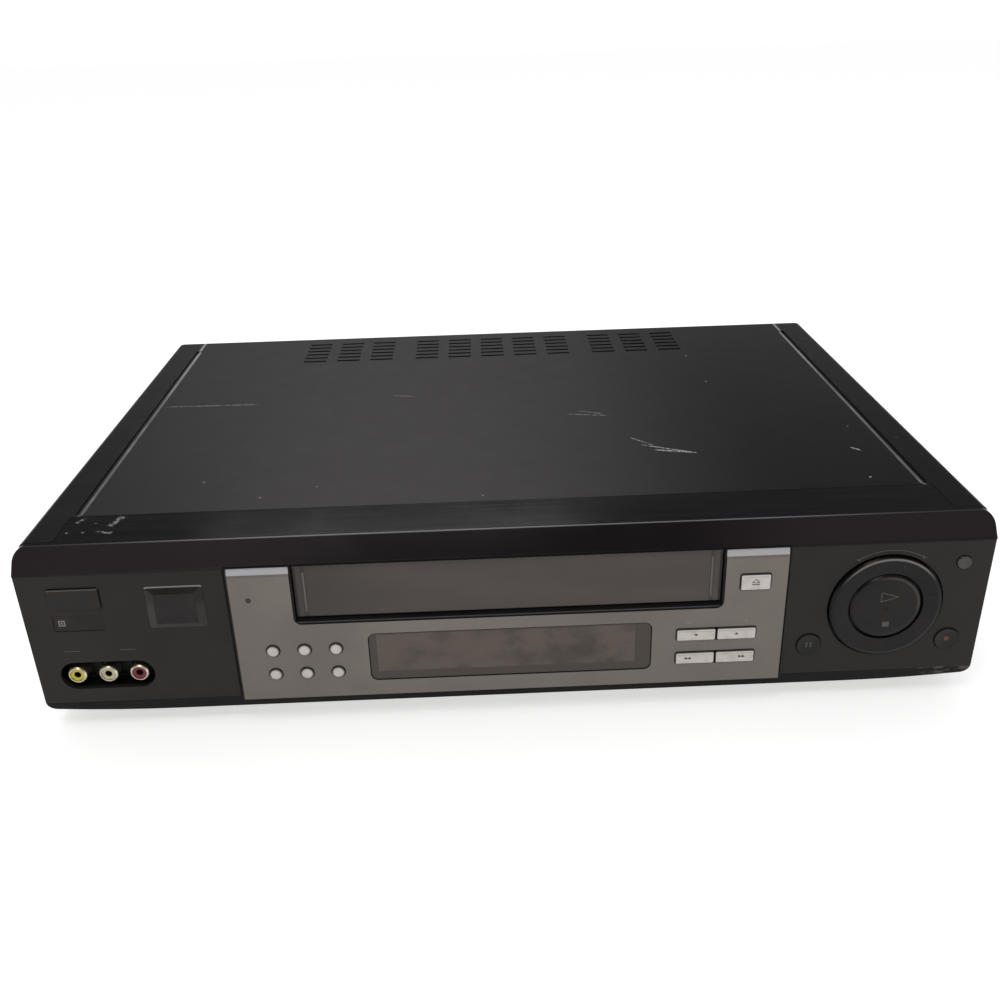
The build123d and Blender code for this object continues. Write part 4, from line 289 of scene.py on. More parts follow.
# the three other faces of the moulding: band, chin and strip
band = both(tree, span(tree, parts[2], PANEL_TOP - 0.0002, PANEL_TOP + 0.0002),
            span(tree, parts[1], EDGE - 0.0003, EDGE + 0.0001, 1.0, 0.0))
chin = span(tree, parts[2], CHIN_TOP - 0.0004, CHIN_TOP + 0.0001, 1.0, 0.0)
strip = span(tree, parts[1], EDGE - 0.0002, EDGE + 0.0003)
strip_color = mottle(tree, hairs, 0.35, 0.65, "060608", "131315")
# painted reflection on the polished band: lighter towards both ends than in the middle
band_shaded_middle = between(tree, parts[0], -0.085, 0.10, 0.045)
color = tint(tree, band, face_color, tint(tree, band_shaded_middle, linear("2a2426"), linear("151113")))
# painted shade in the shut lines: under the band's step and beside both ends of the centre panel
under = between(tree, parts[2], PANEL_TOP - 0.0007, PANEL_TOP + 0.0009, 0.0003)
aside = off_middle(tree, parts)
under = both(tree, under, span(tree, aside, PANEL_HALF, PANEL_HALF + 0.001, 1.0, 0.3))
color = stain(tree, color, under, 0.95, "050404")
beside_shade = both(tree, between(tree, aside, PANEL_HALF - 0.001, PANEL_HALF + 0.0011, 0.0002),
              span(tree, parts[2], PANEL_TOP, PANEL_TOP - 0.0005))
color = stain(tree, color, beside_shade, 0.9, "050404")
# painted shade on the chin, which faces down and is tucked in
color = tint(tree, chin, color, linear("0c0908"))
# wear on the chin's right end and the strip's left end, and a painted highlight along the edge between band
# and strip
rubbed = both(tree, span(tree, parts[0], 0.186, 0.196), chin)
rubbed = both(tree, rubbed, span(tree, grain(tree, vector, 150.0, 4.0, (1, 1, 2.0)), 0.48, 0.62))
color = stain(tree, color, rubbed, 0.4, "8f8b86")
color = tint(tree, strip, color, strip_color)
edge_highlight = both(tree, between(tree, parts[1], EDGE - 0.0001, EDGE + 0.0005, 0.0002),
                 span(tree, parts[2], CASE_TOP - 0.0012, CASE_TOP - 0.0004))
along = between(tree, parts[0], -0.16, 0.15, 0.04)
edge_highlight = both(tree, edge_highlight, calc(tree, "ADD", both(tree, along, 0.6), 0.15))
color = tint(tree, edge_highlight, color, linear("85858c"))
scuff = most(tree, [line_mask(tree, parts, a, b, width) for a, b, width in SCUFFS])
scuff = both(tree, scuff, span(tree, grain(tree, vector, 520.0, 4.0), 0.42, 0.58))
scuff = both(tree, scuff, strip)
color = stain(tree, color, scuff, 0.6, "a5a2a0")
feed(tree, color, skin, "Base Color")
gloss = tint(tree, band, MATT, BAND_GLOSS)
gloss = tint(tree, strip, gloss, STRIP_GLOSS)
gloss = tint(tree, most(tree, (chin, under, beside_shade)), gloss, DULL)
gloss = add(tree, "RGBToBW", {0: gloss}).outputs[0]
gloss = calc(tree, "ADD", gloss, span(tree, smudge, 0.4, 0.7, 0.0, 0.05))
feed(tree, gloss, skin, "Roughness")
texture = both(tree, fine, other(tree, band))
texture = calc(tree, "ADD", texture, both(tree, both(tree, hairs, strip), 1.5))
relief(tree, skin, texture, 0.00005, 0.5)
dress("front_panel", bezel)

# ---- Grey centre panel ---------------------------------------------------------------------------
# Separate moulding clipped into the front panel's recess round the cassette slot and the display.
# It is sprayed a warm metallic grey, and the bevel along its top edge is a lighter silver with
# a painted reflection on it. Painted shade darkens its shut lines and the walls of its openings.
BEVEL_FOOT = PANEL_TOP - 0.0034

trim_grey, tree, skin = finish_of("trim_grey", linear("6b6761"), 0.42, metallic=0.35, specular=0.45)
vector, parts = place(tree)
flakes = grain(tree, vector, 4200.0, 1.0)
cloud = grain(tree, vector, 22.0, 3.0, offset=(2, 4, 1))
color = mottle(tree, cloud, 0.3, 0.7, "6d6761", "79726b")
color = stain(tree, color, span(tree, flakes, 0.55, 0.75), 0.35, "8f8b86")
# the bevel is a lighter silver, with a painted reflection of the light above on it
bevel_silver_and_sheen = both(tree, span(tree, parts[2], BEVEL_FOOT - 0.0002, BEVEL_FOOT + 0.0002),
             span(tree, parts[1], FACE + 0.0008, FACE + 0.0012, 1.0, 0.0))
color = tint(tree, bevel_silver_and_sheen, color, linear("b9b8bc"))
# painted shade along the left end and the top edge, and on every face that does not face forward, such as
# the walls of the openings
facing = add(tree, "SeparateXYZ", {0: add(tree, "TexCoord").outputs["Normal"]}).outputs[1]
panel_gap_shade = calc(tree, "MAXIMUM", span(tree, parts[0], -PANEL_HALF + 0.0005, -PANEL_HALF + 0.0009, 1.0, 0.0),
             span(tree, parts[2], PANEL_TOP - 0.0006, PANEL_TOP - 0.0003))
panel_gap_shade = calc(tree, "MAXIMUM", panel_gap_shade, span(tree, facing, -0.7, -0.5))
color = stain(tree, color, panel_gap_shade, 0.92, "0f0d0c")
feed(tree, color, skin, "Base Color")
feed(tree, both(tree, other(tree, panel_gap_shade), 0.35), skin, "Metallic")
feed(tree, calc(tree, "MAXIMUM", span(tree, flakes, 0.2, 0.8, 0.36, 0.5), panel_gap_shade), skin, "Roughness")
relief(tree, skin, flakes, 0.00003, 0.4)
dress("centre_panel", trim_grey)

# ---- Cassette slot: liner and flap ---------------------------------------------------------------
# The liner is a thin black moulding pushed into the slot from the front. The flap in it is dark
# grey, swings inward on trunnions and has a set-back margin and a groove at each end, painted
# with a highlight along it and shade round it.
LINER_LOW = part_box("door_surround")[0].z
liner_black, tree, skin = finish_of("liner_black", linear("131212"), 0.55, specular=0.2)
vector, parts = place(tree)
cloud = grain(tree, vector, 60.0, 4.0)
fine = grain(tree, vector, 2800.0, 2.0)
color = mottle(tree, cloud, 0.3, 0.7, "090808", "121110")
# painted highlight along the front lip of the sill
sill_highlight = both(tree, between(tree, parts[2], LINER_LOW + 0.0008, LINER_LOW + 0.0011, 0.0002),
                 span(tree, parts[1], FACE + 0.0006, FACE, 0.0, 1.0))
color = stain(tree, color, sill_highlight, 0.7, "60616a")
feed(tree, color, skin, "Base Color")
feed(tree, span(tree, fine, 0.2, 0.8, 0.45, 0.62), skin, "Roughness")
relief(tree, skin, fine, 0.00004, 0.5)
dress("door_surround", liner_black)

door_low, door_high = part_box("cassette_door")
FLAP_END = 0.0946
FLAP_MARGIN = 0.0013
FLAP_GROOVE = FLAP_END - FLAP_MARGIN - 0.0032

door_grey, tree, skin = finish_of("door_grey", linear("4a4643"), 0.33, specular=0.3)
vector, parts = place(tree)
cloud = grain(tree, vector, 14.0, 3.0, (1, 1, 2.5), (4, 2, 9))
fine = grain(tree, vector, 3000.0, 2.0)
color = mottle(tree, cloud, 0.3, 0.7, "4b4440", "554e49")
# painted shade: the flap is darker towards its left end
color = tint(tree, span(tree, parts[0], -0.10, -0.035, 0.6, 0.0), color, linear("332e2b"))
aside = off_middle(tree, parts)
# painted highlight along the groove at each end, with painted shade round it
flap_groove_highlight = both(tree, between(tree, aside, FLAP_GROOVE - 0.0004, FLAP_GROOVE + 0.0004, 0.00015),
                between(tree, parts[2], door_low.z + 0.0028, door_high.z - 0.0045, 0.0004))
shade = between(tree, aside, FLAP_GROOVE - 0.0010, FLAP_GROOVE + 0.0010, 0.0002)
color = stain(tree, color, shade, 0.45, "141212")
color = stain(tree, color, flap_groove_highlight, 0.75, "928d89")
margin = span(tree, aside, FLAP_END - FLAP_MARGIN - 0.0001, FLAP_END - FLAP_MARGIN + 0.0001)
color = tint(tree, margin, color, linear("2a2725"))
feed(tree, color, skin, "Base Color")
feed(tree, span(tree, cloud, 0.2, 0.8, 0.28, 0.4), skin, "Roughness")
relief(tree, skin, fine, 0.00003, 0.35)
dress("cassette_door", door_grey)

# ---- Display: smoked window, tube and remote control window --------------------------------------
# The window is a smoked acrylic pane glued into the centre panel, over a vacuum display tube that
# stands on the front board. The remote control window is a deep red filter that looks black.
window_low, window_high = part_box("display_window")
tube_low, tube_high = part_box("display_tube")
WINDOW_RIM = 0.0004


def inside(tree, parts, left, right, low, high, axes=(0, 2)):
    """1 inside a rectangle of a face, seen from the front unless other axes are given."""
    return both(tree, between(tree, parts[axes[0]], left, right, 0.0001),
                between(tree, parts[axes[1]], low, high, 0.0001))


smoked_window, tree, skin = finish_of("smoked_window", linear("2e2a27"), 0.16, specular=0.25)
vector, parts = place(tree)
smear = grain(tree, vector, 48.0, 5.0, (1, 1, 1.6), (9, 3, 5))
color = mottle(tree, smear, 0.42, 0.70, "645a53", "4d4540")
inner = both(tree, between(tree, parts[0], tube_low.x - 0.0033, tube_high.x - 0.0045, 0.0003),
             between(tree, parts[2], tube_low.z + 0.0015, tube_high.z + 0.0021, 0.0004))
color = tint(tree, inner, linear("4f4741"), color)
border = other(tree, inside(tree, parts, window_low.x + WINDOW_RIM, window_high.x - WINDOW_RIM,
                            window_low.z + WINDOW_RIM, window_high.z - WINDOW_RIM))
color = stain(tree, color, border, 0.9, "0e0c0b")
feed(tree, color, skin, "Base Color")
feed(tree, span(tree, smear, 0.3, 0.8, 0.12, 0.26), skin, "Roughness")
dress("display_window", smoked_window)

display_glass, tree, skin = finish_of("display_glass", linear("39423f"), 0.12, specular=0.5)
vector, parts = place(tree)
mesh_wires = grain(tree, vector, 1600.0, 1.0, (1, 1, 0.1))
feed(tree, mottle(tree, mesh_wires, 0.4, 0.6, "2f3735", "4b5652"), skin, "Base Color")
feed(tree, span(tree, mesh_wires, 0.3, 0.7, 0.08, 0.2), skin, "Roughness")
dress("display_tube", display_glass)

infrared, tree, skin = finish_of("infrared_window", linear("17100f"), 0.2, specular=0.2)
vector, parts = place(tree)
smear = grain(tree, vector, 90.0, 4.0)
feed(tree, mottle(tree, smear, 0.3, 0.7, "1a1614", "241f1c"), skin, "Base Color")
feed(tree, span(tree, smear, 0.3, 0.7, 0.10, 0.22), skin, "Roughness")
dress("remote_sensor_window", infrared)

clear_lens, tree, skin = finish_of("clear_lens", linear("1b0d0b"), 0.2, specular=0.5)
vector, parts = place(tree)
swirl = grain(tree, vector, 900.0, 2.0)
feed(tree, tint(tree, swirl, linear("120a09"), linear("2c1512")), skin, "Base Color")
feed(tree, span(tree, swirl, 0.3, 0.7, 0.12, 0.3), skin, "Roughness")
dress("indicator_lens", clear_lens)

# ---- Push buttons --------------------------------------------------------------------------------
# Silver keys are sprayed with a pale pearl paint, the others are moulded dark. Each is a separate
# cap that slides in its hole, with its symbol printed on the cap in thin ink.


def cap_span(name, depth):
    """Least x, most x, least z and most z of a node in front of a depth."""
    near = [v.co for v in cad[name].data.vertices if v.co.y < depth]
    return (min(c.x for c in near), max(c.x for c in near), min(c.z for c in near), max(c.z for c in near))


ROUND_KEYS = [name for name in cad if name.endswith("_key")]
WIDE_KEYS = ["eject_button", "channel_down_button", "channel_up_button", "rewind_button",
             "fast_forward_button"]
KEY_FACE = 0.00285  # radius of a round key's bright face, inside the rim where shade is painted
KEY_RIM = 0.0004

button_silver, tree, skin = finish_of("button_silver", linear("cfc9c2"), 0.32, metallic=0.25, specular=0.5)
vector, parts = place(tree)
pearl = grain(tree, vector, 3600.0, 1.0)
rubbed = grain(tree, vector, 260.0, 4.0, offset=(1, 2, 3))
color = mottle(tree, rubbed, 0.3, 0.75, "d3ccc6", "c3bbb4")
color = stain(tree, color, span(tree, pearl, 0.6, 0.8), 0.4, "f0e9e4")
facing = add(tree, "SeparateXYZ", {0: add(tree, "TexCoord").outputs["Normal"]}).outputs[1]
bright, key_shade_lines = [], []
for low, high in map(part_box, ROUND_KEYS):
    bright.append(spot_mask(tree, parts, (low.x + high.x) / 2, (low.z + high.z) / 2, KEY_FACE, (0, 2)))
for name in WIDE_KEYS:
    left, right, low, high = cap_span(name, FACE - 0.0004)
    face, top = (inside(tree, parts, left + inset, right - inset, low + inset, high - inset)
                 for inset in (KEY_RIM, KEY_RIM + 0.0006))
    bright.append(face)
    key_shade_lines.append(both(tree, top, span(tree, parts[2], high - 0.0022, high - 0.0010)))
# painted shade: a grey line under the top edge of each wide key
color = stain(tree, color, most(tree, key_shade_lines), 0.35, "8f8881")
# painted shade on the sides of the caps and round the edge of each bright face
key_collar_shade = other(tree, most(tree, bright))
dark = calc(tree, "MAXIMUM", span(tree, facing, -0.97, -0.86), key_collar_shade)
color = stain(tree, color, dark, 0.93, "161312")
feed(tree, color, skin, "Base Color")
feed(tree, span(tree, rubbed, 0.3, 0.7, 0.29, 0.4), skin, "Roughness")
relief(tree, skin, pearl, 0.00002, 0.3)
for name in ROUND_KEYS + WIDE_KEYS:
    dress(name, button_silver)

button_black, tree, skin = finish_of("button_black", linear("2a2726"), 0.45, specular=0.25)
vector, parts = place(tree)
rubbed = grain(tree, vector, 130.0, 4.0)
fine = grain(tree, vector, 3000.0, 2.0)
color = mottle(tree, rubbed, 0.35, 0.7, "171514", "211e1c")
left, right, low, high = cap_span("power_button", FACE)
# painted highlight along the top edge of the cap
rim_highlight = both(tree, between(tree, parts[0], left, right, 0.0004),
           between(tree, parts[2], high - 0.0007, high - 0.0002, 0.0001))
color = stain(tree, color, rim_highlight, 0.6, "6f6a66")
# painted shade along the bottom edge of the cap
foot = between(tree, parts[2], low - 0.0002, low + 0.0004, 0.0001)
foot = both(tree, foot, span(tree, parts[0], right, right + 0.001, 1.0, 0.0))
color = stain(tree, color, foot, 0.9, "050404")
feed(tree, color, skin, "Base Color")
feed(tree, span(tree, rubbed, 0.3, 0.7, 0.36, 0.5), skin, "Roughness")
relief(tree, skin, fine, 0.00004, 0.4)
for name in ("power_button", "pause_button", "record_button"):
    dress(name, button_black)

PAD_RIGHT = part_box("tag_reader_pad")[1].x
PAD_TOP = cap_span("tag_reader_pad", FACE - 0.0001)[3]
pad_black, tree, skin = finish_of("pad_black", linear("252221"), 0.42, specular=0.22)
vector, parts = place(tree)
rubbed = grain(tree, vector, 110.0, 4.0, offset=(2, 2, 6))
fine = grain(tree, vector, 3000.0, 2.0)
color = mottle(tree, rubbed, 0.35, 0.7, "1b1817", "262221")
# painted reflection: the raised face is lighter towards its bottom
raised = span(tree, parts[1], FACE - 0.0017, FACE - 0.0014)
color = tint(tree, both(tree, raised, span(tree, parts[2], PAD_TOP - 0.006, PAD_TOP - 0.010)),
             color, linear("35312f"))
# painted highlight along the pad's top edge
pad_lip_highlight = both(tree, span(tree, parts[2], PAD_TOP - 0.0005, PAD_TOP - 0.0003),
           span(tree, parts[1], FACE - 0.0004, FACE - 0.0002))
color = stain(tree, color, pad_lip_highlight, 0.8, "9a958f")
# painted shade in the gap at the pad's right side
pad_gap_shade = span(tree, parts[0], PAD_RIGHT - 0.0006, PAD_RIGHT - 0.0003)
color = stain(tree, color, pad_gap_shade, 0.9, "050404")
feed(tree, color, skin, "Base Color")
feed(tree, span(tree, rubbed, 0.3, 0.7, 0.34, 0.46), skin, "Roughness")
relief(tree, skin, fine, 0.00004, 0.4)
dress("tag_reader_pad", pad_black)

jog_lens, tree, skin = finish_of("jog_lens", linear("3c3d3c"), 0.2, specular=0.5)
vector, parts = place(tree)
swirl = grain(tree, vector, 700.0, 3.0)
feed(tree, mottle(tree, swirl, 0.35, 0.7, "262727", "3b3c3b"), skin, "Base Color")
feed(tree, span(tree, swirl, 0.3, 0.7, 0.14, 0.3), skin, "Roughness")
dress("jog_button", jog_lens)

# each ink: its plain colour, the two colours that its grain goes between, and its specular level
inks = {}
for name, code, dark, light, specular in (
        ("ink_pale", "8d8680", "857e78", "979089", 0.3), ("ink_dark", "2b2927", "242220", "3a3735", 0.3),
        ("ink_grey", "5d5b58", "4e4c4a", "6b6966", 0.2), ("ink_tick", "3b3937", "33312f", "454240", 0.2),
        ("ink_red", "74403f", "6a3836", "86504e", 0.2)):
    inks[name], tree, skin = finish_of(name, linear(code), 0.6, specular=specular)
    blots = grain(tree, place(tree)[0], 2500.0, 2.0)
    feed(tree, tint(tree, blots, linear(dark), linear(light)), skin, "Base Color")

INK_DEPTH = 0.00003
IN_FRONT = -0.4  # where the search for a front starts, well clear of every piece


def front_of(name):
    """Search tree of a CAD node's faces, to lay ink on its front."""
    mesh = cad[name].data
    return BVHTree.FromPolygons([v.co for v in mesh.vertices], [p.vertices for p in mesh.polygons])


def printed(name, shapes, on, body, ink="ink_grey"):
    """Ink on the front of a node: flat shapes as loops of (x, z) points, laid on its surface."""
    faces = front_of(on)
    verts, polygons = [], []
    for loop in shapes:
        start = len(verts)
        depths = []
        for x, z in loop:
            hit = faces.ray_cast(Vector((x, IN_FRONT, z)), Vector((0, 1, 0)))[0]
            depths.append(hit.y if hit else FACE)
        for layer in (-INK_DEPTH, INK_DEPTH):
            verts += [(x, depth + layer, z) for (x, z), depth in zip(loop, depths)]
        count = len(loop)
        polygons.append([start + i for i in range(count)])
        polygons.append([start + count + i for i in reversed(range(count))])
        for i in range(count):
            j = (i + 1) % count
            polygons.append([start + j, start + i, start + count + i, start + count + j])
    mesh = bpy.data.meshes.new(name)
    mesh.from_pydata(verts, [], polygons)
    mesh.validate()
    mesh.materials.append(inks[ink])
    made = bpy.data.objects.new(name, mesh)
    bpy.context.scene.collection.objects.link(made)
    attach(made, body)


def cap_middle(name):
    """Middle of a key's cap as x and z."""
    front = min(v.co.y for v in cad[name].data.vertices)
    x0, x1, z0, z1 = cap_span(name, front + 0.0002)
    return (x0 + x1) / 2, (z0 + z1) / 2


def bar(x, z, wide, high):
    """Rectangle of ink."""
    return [(x - wide / 2, z - high / 2), (x + wide / 2, z - high / 2),
            (x + wide / 2, z + high / 2), (x - wide / 2, z + high / 2)]


def edge_bar(x0, z0, x1, z1, width):
    """Line of ink between two points."""
    length = math.hypot(x1 - x0, z1 - z0)
    nx, nz = -(z1 - z0) / length * width / 2, (x1 - x0) / length * width / 2
    return [(x0 + nx, z0 + nz), (x0 - nx, z0 - nz), (x1 - nx, z1 - nz), (x1 + nx, z1 + nz)]


def outline(corners, width):
    """Lines of ink between corners, closed."""
    following = corners[1:] + corners[:1]
    return [edge_bar(*start, *end, width) for start, end in zip(corners, following)]


def arrow(x, z, long, high, way):
    """Triangle of ink that points left (-1) or right (1)."""
    return [(x - way * long / 2, z - high / 2), (x + way * long / 2, z), (x - way * long / 2, z + high / 2)]


left, _, low, high = cap_span("remote_sensor_window", FACE + 0.0004)
x, z = left + 0.0036, (low + high) / 2
printed("remote_mark", [bar(x, z + 0.0012, 0.0030, 0.0005), bar(x, z - 0.0012, 0.0030, 0.0005),
                        bar(x - 0.0012, z, 0.0005, 0.0019), bar(x + 0.0012, z, 0.0005, 0.0019),
                        bar(x, z, 0.0009, 0.0009)], "remote_sensor_window", "case", "ink_pale")
x, z = cap_middle("eject_button")
corners = [(x - 0.0016, z - 0.0002), (x + 0.0016, z - 0.0002), (x, z + 0.0016)]
printed("eject_mark", outline(corners, 0.00032) + [bar(x, z - 0.0011, 0.0034, 0.0005)],
        "eject_button", "eject_button_body", "ink_grey")
# channel keys: an arrow down (-1) or up (1) on the cap, and its sign on the panel above, as bars
for key, way, sign, aside, bars in (
        ("channel_down", -1, "minus_mark", -0.0035, [(0.0062, 0.0018, 0.0004)]),
        ("channel_up", 1, "plus_mark", 0.0042,
         [(0.0062, 0.0018, 0.0004), (0.0067, 0.0004, 0.0006), (0.0057, 0.0004, 0.0006)])):
    x, z = cap_middle(key + "_button")
    foot = z - way * 0.0005
    printed(key + "_mark", [[(x - way * 0.0010, foot), (x + way * 0.0010, foot), (x, z + way * 0.0006)]],
            key + "_button", key + "_button_body", "ink_dark")
    printed(sign, [bar(x + aside, z + up, wide, high) for up, wide, high in bars],
            "centre_panel", "case", "ink_pale")
# winding keys: a double arrow each, a little aside of the cap's middle
for key, way, aside in (("rewind", -1, -0.0034), ("fast_forward", 1, 0.0030)):
    x, z = cap_middle(key + "_button")
    x += aside
    pair = [arrow(x + dx, z, 0.0016, 0.0014, way) for dx in sorted((way * 0.0010, -way * 0.0006))]
    printed(key + "_mark", pair, key + "_button", key + "_button_body", "ink_dark")
x, z = cap_middle("pause_button")
printed("pause_mark", [bar(x - 0.0009, z, 0.0007, 0.0026), bar(x + 0.0009, z, 0.0007, 0.0026)],
        "pause_button", "pause_button_body")
x, z = cap_middle("record_button")
DOT_R = 0.0011
turns = [a * math.pi / 10 for a in range(20)]
dot = [(x + DOT_R * math.cos(a), z + DOT_R * math.sin(a)) for a in turns]
printed("record_mark", [dot], "record_button", "record_button_body", "ink_red")

# ---- Shuttle dial --------------------------------------------------------------------------------
# A sprung ring turns round a rocking disc. Both are dark mouldings: the ring has a rolled edge and
# a dished face with printed ticks, and the disc carries the play and stop symbols.
ring_low, ring_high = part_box("shuttle_ring")
DIAL_X = (ring_low.x + ring_high.x) / 2
DIAL_Z = (ring_low.z + ring_high.z) / 2
RING_FRONT = ring_low.y
RING_EDGE = 0.0254  # outer radius of the ring's cap
DISC_EDGE = 0.0162

dial_black, tree, skin = finish_of("dial_black", linear("221f1f"), 0.36, specular=0.2)
vector, parts = place(tree)
rubbed = grain(tree, vector, 120.0, 4.0)
fine = grain(tree, vector, 3000.0, 2.0)
dx, dz, far = away_from(tree, parts, DIAL_X, DIAL_Z, (0, 2))
radius = calc(tree, "SQRT", far)
up = calc(tree, "DIVIDE", dz, radius)
side = calc(tree, "DIVIDE", dx, radius)
color = mottle(tree, rubbed, 0.35, 0.7, "161413", "1e1b1a")
# painted shade and highlights: the dished face is darker at the top, the rolled edge and the disc's rim get
# a painted highlight at the top, and the rolled edge painted shade on its left
on_ring = span(tree, radius, DISC_EDGE + 0.0002, DISC_EDGE + 0.0005)
color = tint(tree, both(tree, on_ring, span(tree, up, -0.6, 0.7)), color, linear("0a0909"))
roll_highlight = both(tree, between(tree, radius, RING_EDGE - 0.0016, RING_EDGE - 0.0007, 0.0003),
            span(tree, up, 0.45, 0.85))
color = stain(tree, color, roll_highlight, 0.75, "8d8885")
shade = both(tree, span(tree, radius, RING_EDGE - 0.0012, RING_EDGE - 0.0008),
             span(tree, side, -0.3, -0.7))
color = stain(tree, color, shade, 0.9, "070606")
rim_highlight = both(tree, between(tree, radius, DISC_EDGE - 0.0020, DISC_EDGE - 0.0010, 0.0004),
           span(tree, calc(tree, "ADD", up, side), 0.5, 1.2))
color = stain(tree, color, rim_highlight, 0.45, "605c59")
feed(tree, color, skin, "Base Color")
feed(tree, span(tree, rubbed, 0.3, 0.7, 0.28, 0.42), skin, "Roughness")
relief(tree, skin, fine, 0.00003, 0.35)
dress("shuttle_ring", dial_black)
dress("play_stop_disc", dial_black)
dress("shuttle_encoder", liner_black)


def ring_loop(radius, start, end, width, steps):
    """Arc of ink as one loop, angles in degrees from the right."""
    angles = [math.radians(start + (end - start) * i / steps) for i in range(steps + 1)]
    outer, inner = ([(DIAL_X + r * math.cos(a), DIAL_Z + r * math.sin(a)) for a in angles]
                    for r in (radius + width / 2, radius - width / 2))
    return [[outer[i], outer[i + 1], inner[i + 1], inner[i]] for i in range(steps)]


PLAY_Z = DIAL_Z + 0.0053
PLAY_HALF = 0.0023
corners = [(DIAL_X - 0.0028, PLAY_Z + PLAY_HALF), (DIAL_X - 0.0028, PLAY_Z - PLAY_HALF),
           (DIAL_X + 0.0049, PLAY_Z)]
printed("play_mark", outline(corners, 0.00035), "play_stop_disc", "play_stop")
printed("stop_mark", [bar(DIAL_X + 0.0007, DIAL_Z - 0.0088, 0.0030, 0.0026)], "play_stop_disc", "play_stop")
# the arc over the ring, with an arrow at each end that shows which way it turns
ARC_R, ARC_START = 0.0281, 60
arc = ring_loop(ARC_R, ARC_START, 180 - ARC_START, 0.00028, 24)
for way in (-1, 1):
    arc.append(arrow(DIAL_X + way * (ARC_R * math.cos(math.radians(ARC_START)) + 0.0008),
                     DIAL_Z + ARC_R * math.sin(math.radians(ARC_START)) - 0.0004, 0.0018, 0.0013, way))
printed("shuttle_arc", arc, "front_panel", "case")


def point(group, x=0.0, y=0.0, z=0.0):
    """Vector made of three values."""
    return add(group, "CombineXYZ", {0: x, 1: y, 2: z}).outputs[0]


def from_start(group, start, count, pace):
    """Start and so many paces from it."""
    return calc(group, "ADD", both(group, count, pace), start)


def repeated(name, build, values, made, body):
    """Pieces that repeat, from a tree of geometry nodes: its named inputs are set, then it is applied."""
    group = bpy.data.node_groups.new(name, "GeometryNodeTree")
    sockets = {}
    for key, value in values.items():
        kind = "NodeSocketInt" if isinstance(value, int) else "NodeSocketFloat"
        sockets[key] = group.interface.new_socket(key, in_out="INPUT", socket_type=kind).identifier
    group.interface.new_socket("Geometry", in_out="OUTPUT", socket_type="NodeSocketGeometry")
    placed = build(group, group.nodes.new("NodeGroupInput").outputs)
    real = step(group, "GeometryNodeRealizeInstances", {0: placed}).outputs[0]
    real = step(group, "GeometryNodeSetMaterial", {"Geometry": real, "Material": made}).outputs[0]
    group.links.new(real, group.nodes.new("NodeGroupOutput").inputs[0])
    holder = bpy.data.objects.new(name + "_holder", bpy.data.meshes.new(name + "_holder"))
    bpy.context.scene.collection.objects.link(holder)
    modifier = holder.modifiers.new(name, "NODES")
    modifier.node_group = group
    for key, value in values.items():
        modifier[sockets[key]] = value
    ready = holder.evaluated_get(bpy.context.evaluated_depsgraph_get())
    mesh = bpy.data.meshes.new_from_object(ready)
    holder.modifiers.remove(modifier)
    bpy.data.objects.remove(holder)
    piece = bpy.data.objects.new(name, mesh)
    bpy.context.scene.collection.objects.link(piece)
    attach(piece, body)


def ticks(group, given):
    """Short bars round the ring, each turned to point at its middle and a little worn."""
    index = step(group, "GeometryNodeInputIndex").outputs[0]
    angle = from_start(group, given["First"], index, given["Step"])
    x = from_start(group, given["Middle X"], calc(group, "COSINE", angle), given["Radius"])
    z = from_start(group, given["Middle Z"], calc(group, "SINE", angle), given["Radius"])
    spot = point(group, x, given["Front"], z)
    points = step(group, "GeometryNodePoints", {"Count": given["Count"], "Position": spot}).outputs[0]
    size = point(group, given["Length"], given["Thickness"], given["Width"])
    cube = step(group, "GeometryNodeMeshCube", {"Size": size}).outputs[0]
    lean = point(group, z=given["Lean"])
    cube = step(group, "GeometryNodeTransform", {"Geometry": cube, "Rotation": lean}).outputs[0]
    turn = point(group, y=both(group, angle, -1.0))
    worn = step(group, "FunctionNodeRandomValue", {2: 0.6, 3: 1.0, "Seed": given["Seed"]}).outputs[1]
    return step(group, "GeometryNodeInstanceOnPoints", {
        "Points": points, "Instance": cube, "Rotation": turn, "Scale": worn}).outputs[0]


repeated("dial_ticks", ticks, {
    "Count": 10, "Seed": 4, "First": math.radians(-52.0), "Step": math.radians(31.5), "Radius": 0.0212,
    "Middle X": DIAL_X, "Middle Z": DIAL_Z, "Front": RING_FRONT + 0.00030, "Length": 0.0015,
    "Width": 0.0003, "Thickness": 0.00010, "Lean": -0.1279}, inks["ink_tick"], "shuttle")

# ---- Phono and aerial sockets --------------------------------------------------------------------
# Pressed brass sleeves with bright nickel plate, each round a moulded insert: yellow for video and
# white and red for sound, in black blocks at the front and the rear. The two aerial sockets are
# threaded nickel barrels, each held to the rear panel by its hexagon.
nickel, tree, skin = finish_of("nickel", linear("cfc8b8"), 0.34, metallic=1.0)
vector, parts = place(tree)
tarnish = grain(tree, vector, 420.0, 4.0)
turned = grain(tree, vector, 2400.0, 2.0, (0.2, 4.0, 0.2))
feed(tree, mottle(tree, tarnish, 0.35, 0.75, "ddd6c2", "b8ae97"), skin, "Base Color")
feed(tree, span(tree, tarnish, 0.3, 0.7, 0.30, 0.46), skin, "Roughness")
relief(tree, skin, turned, 0.00003, 0.3)
dress("jack_sleeves", nickel)
dress("antenna_sockets", nickel)
dress("front_jack_block", liner_black)
dress("rear_jack_block", liner_black)
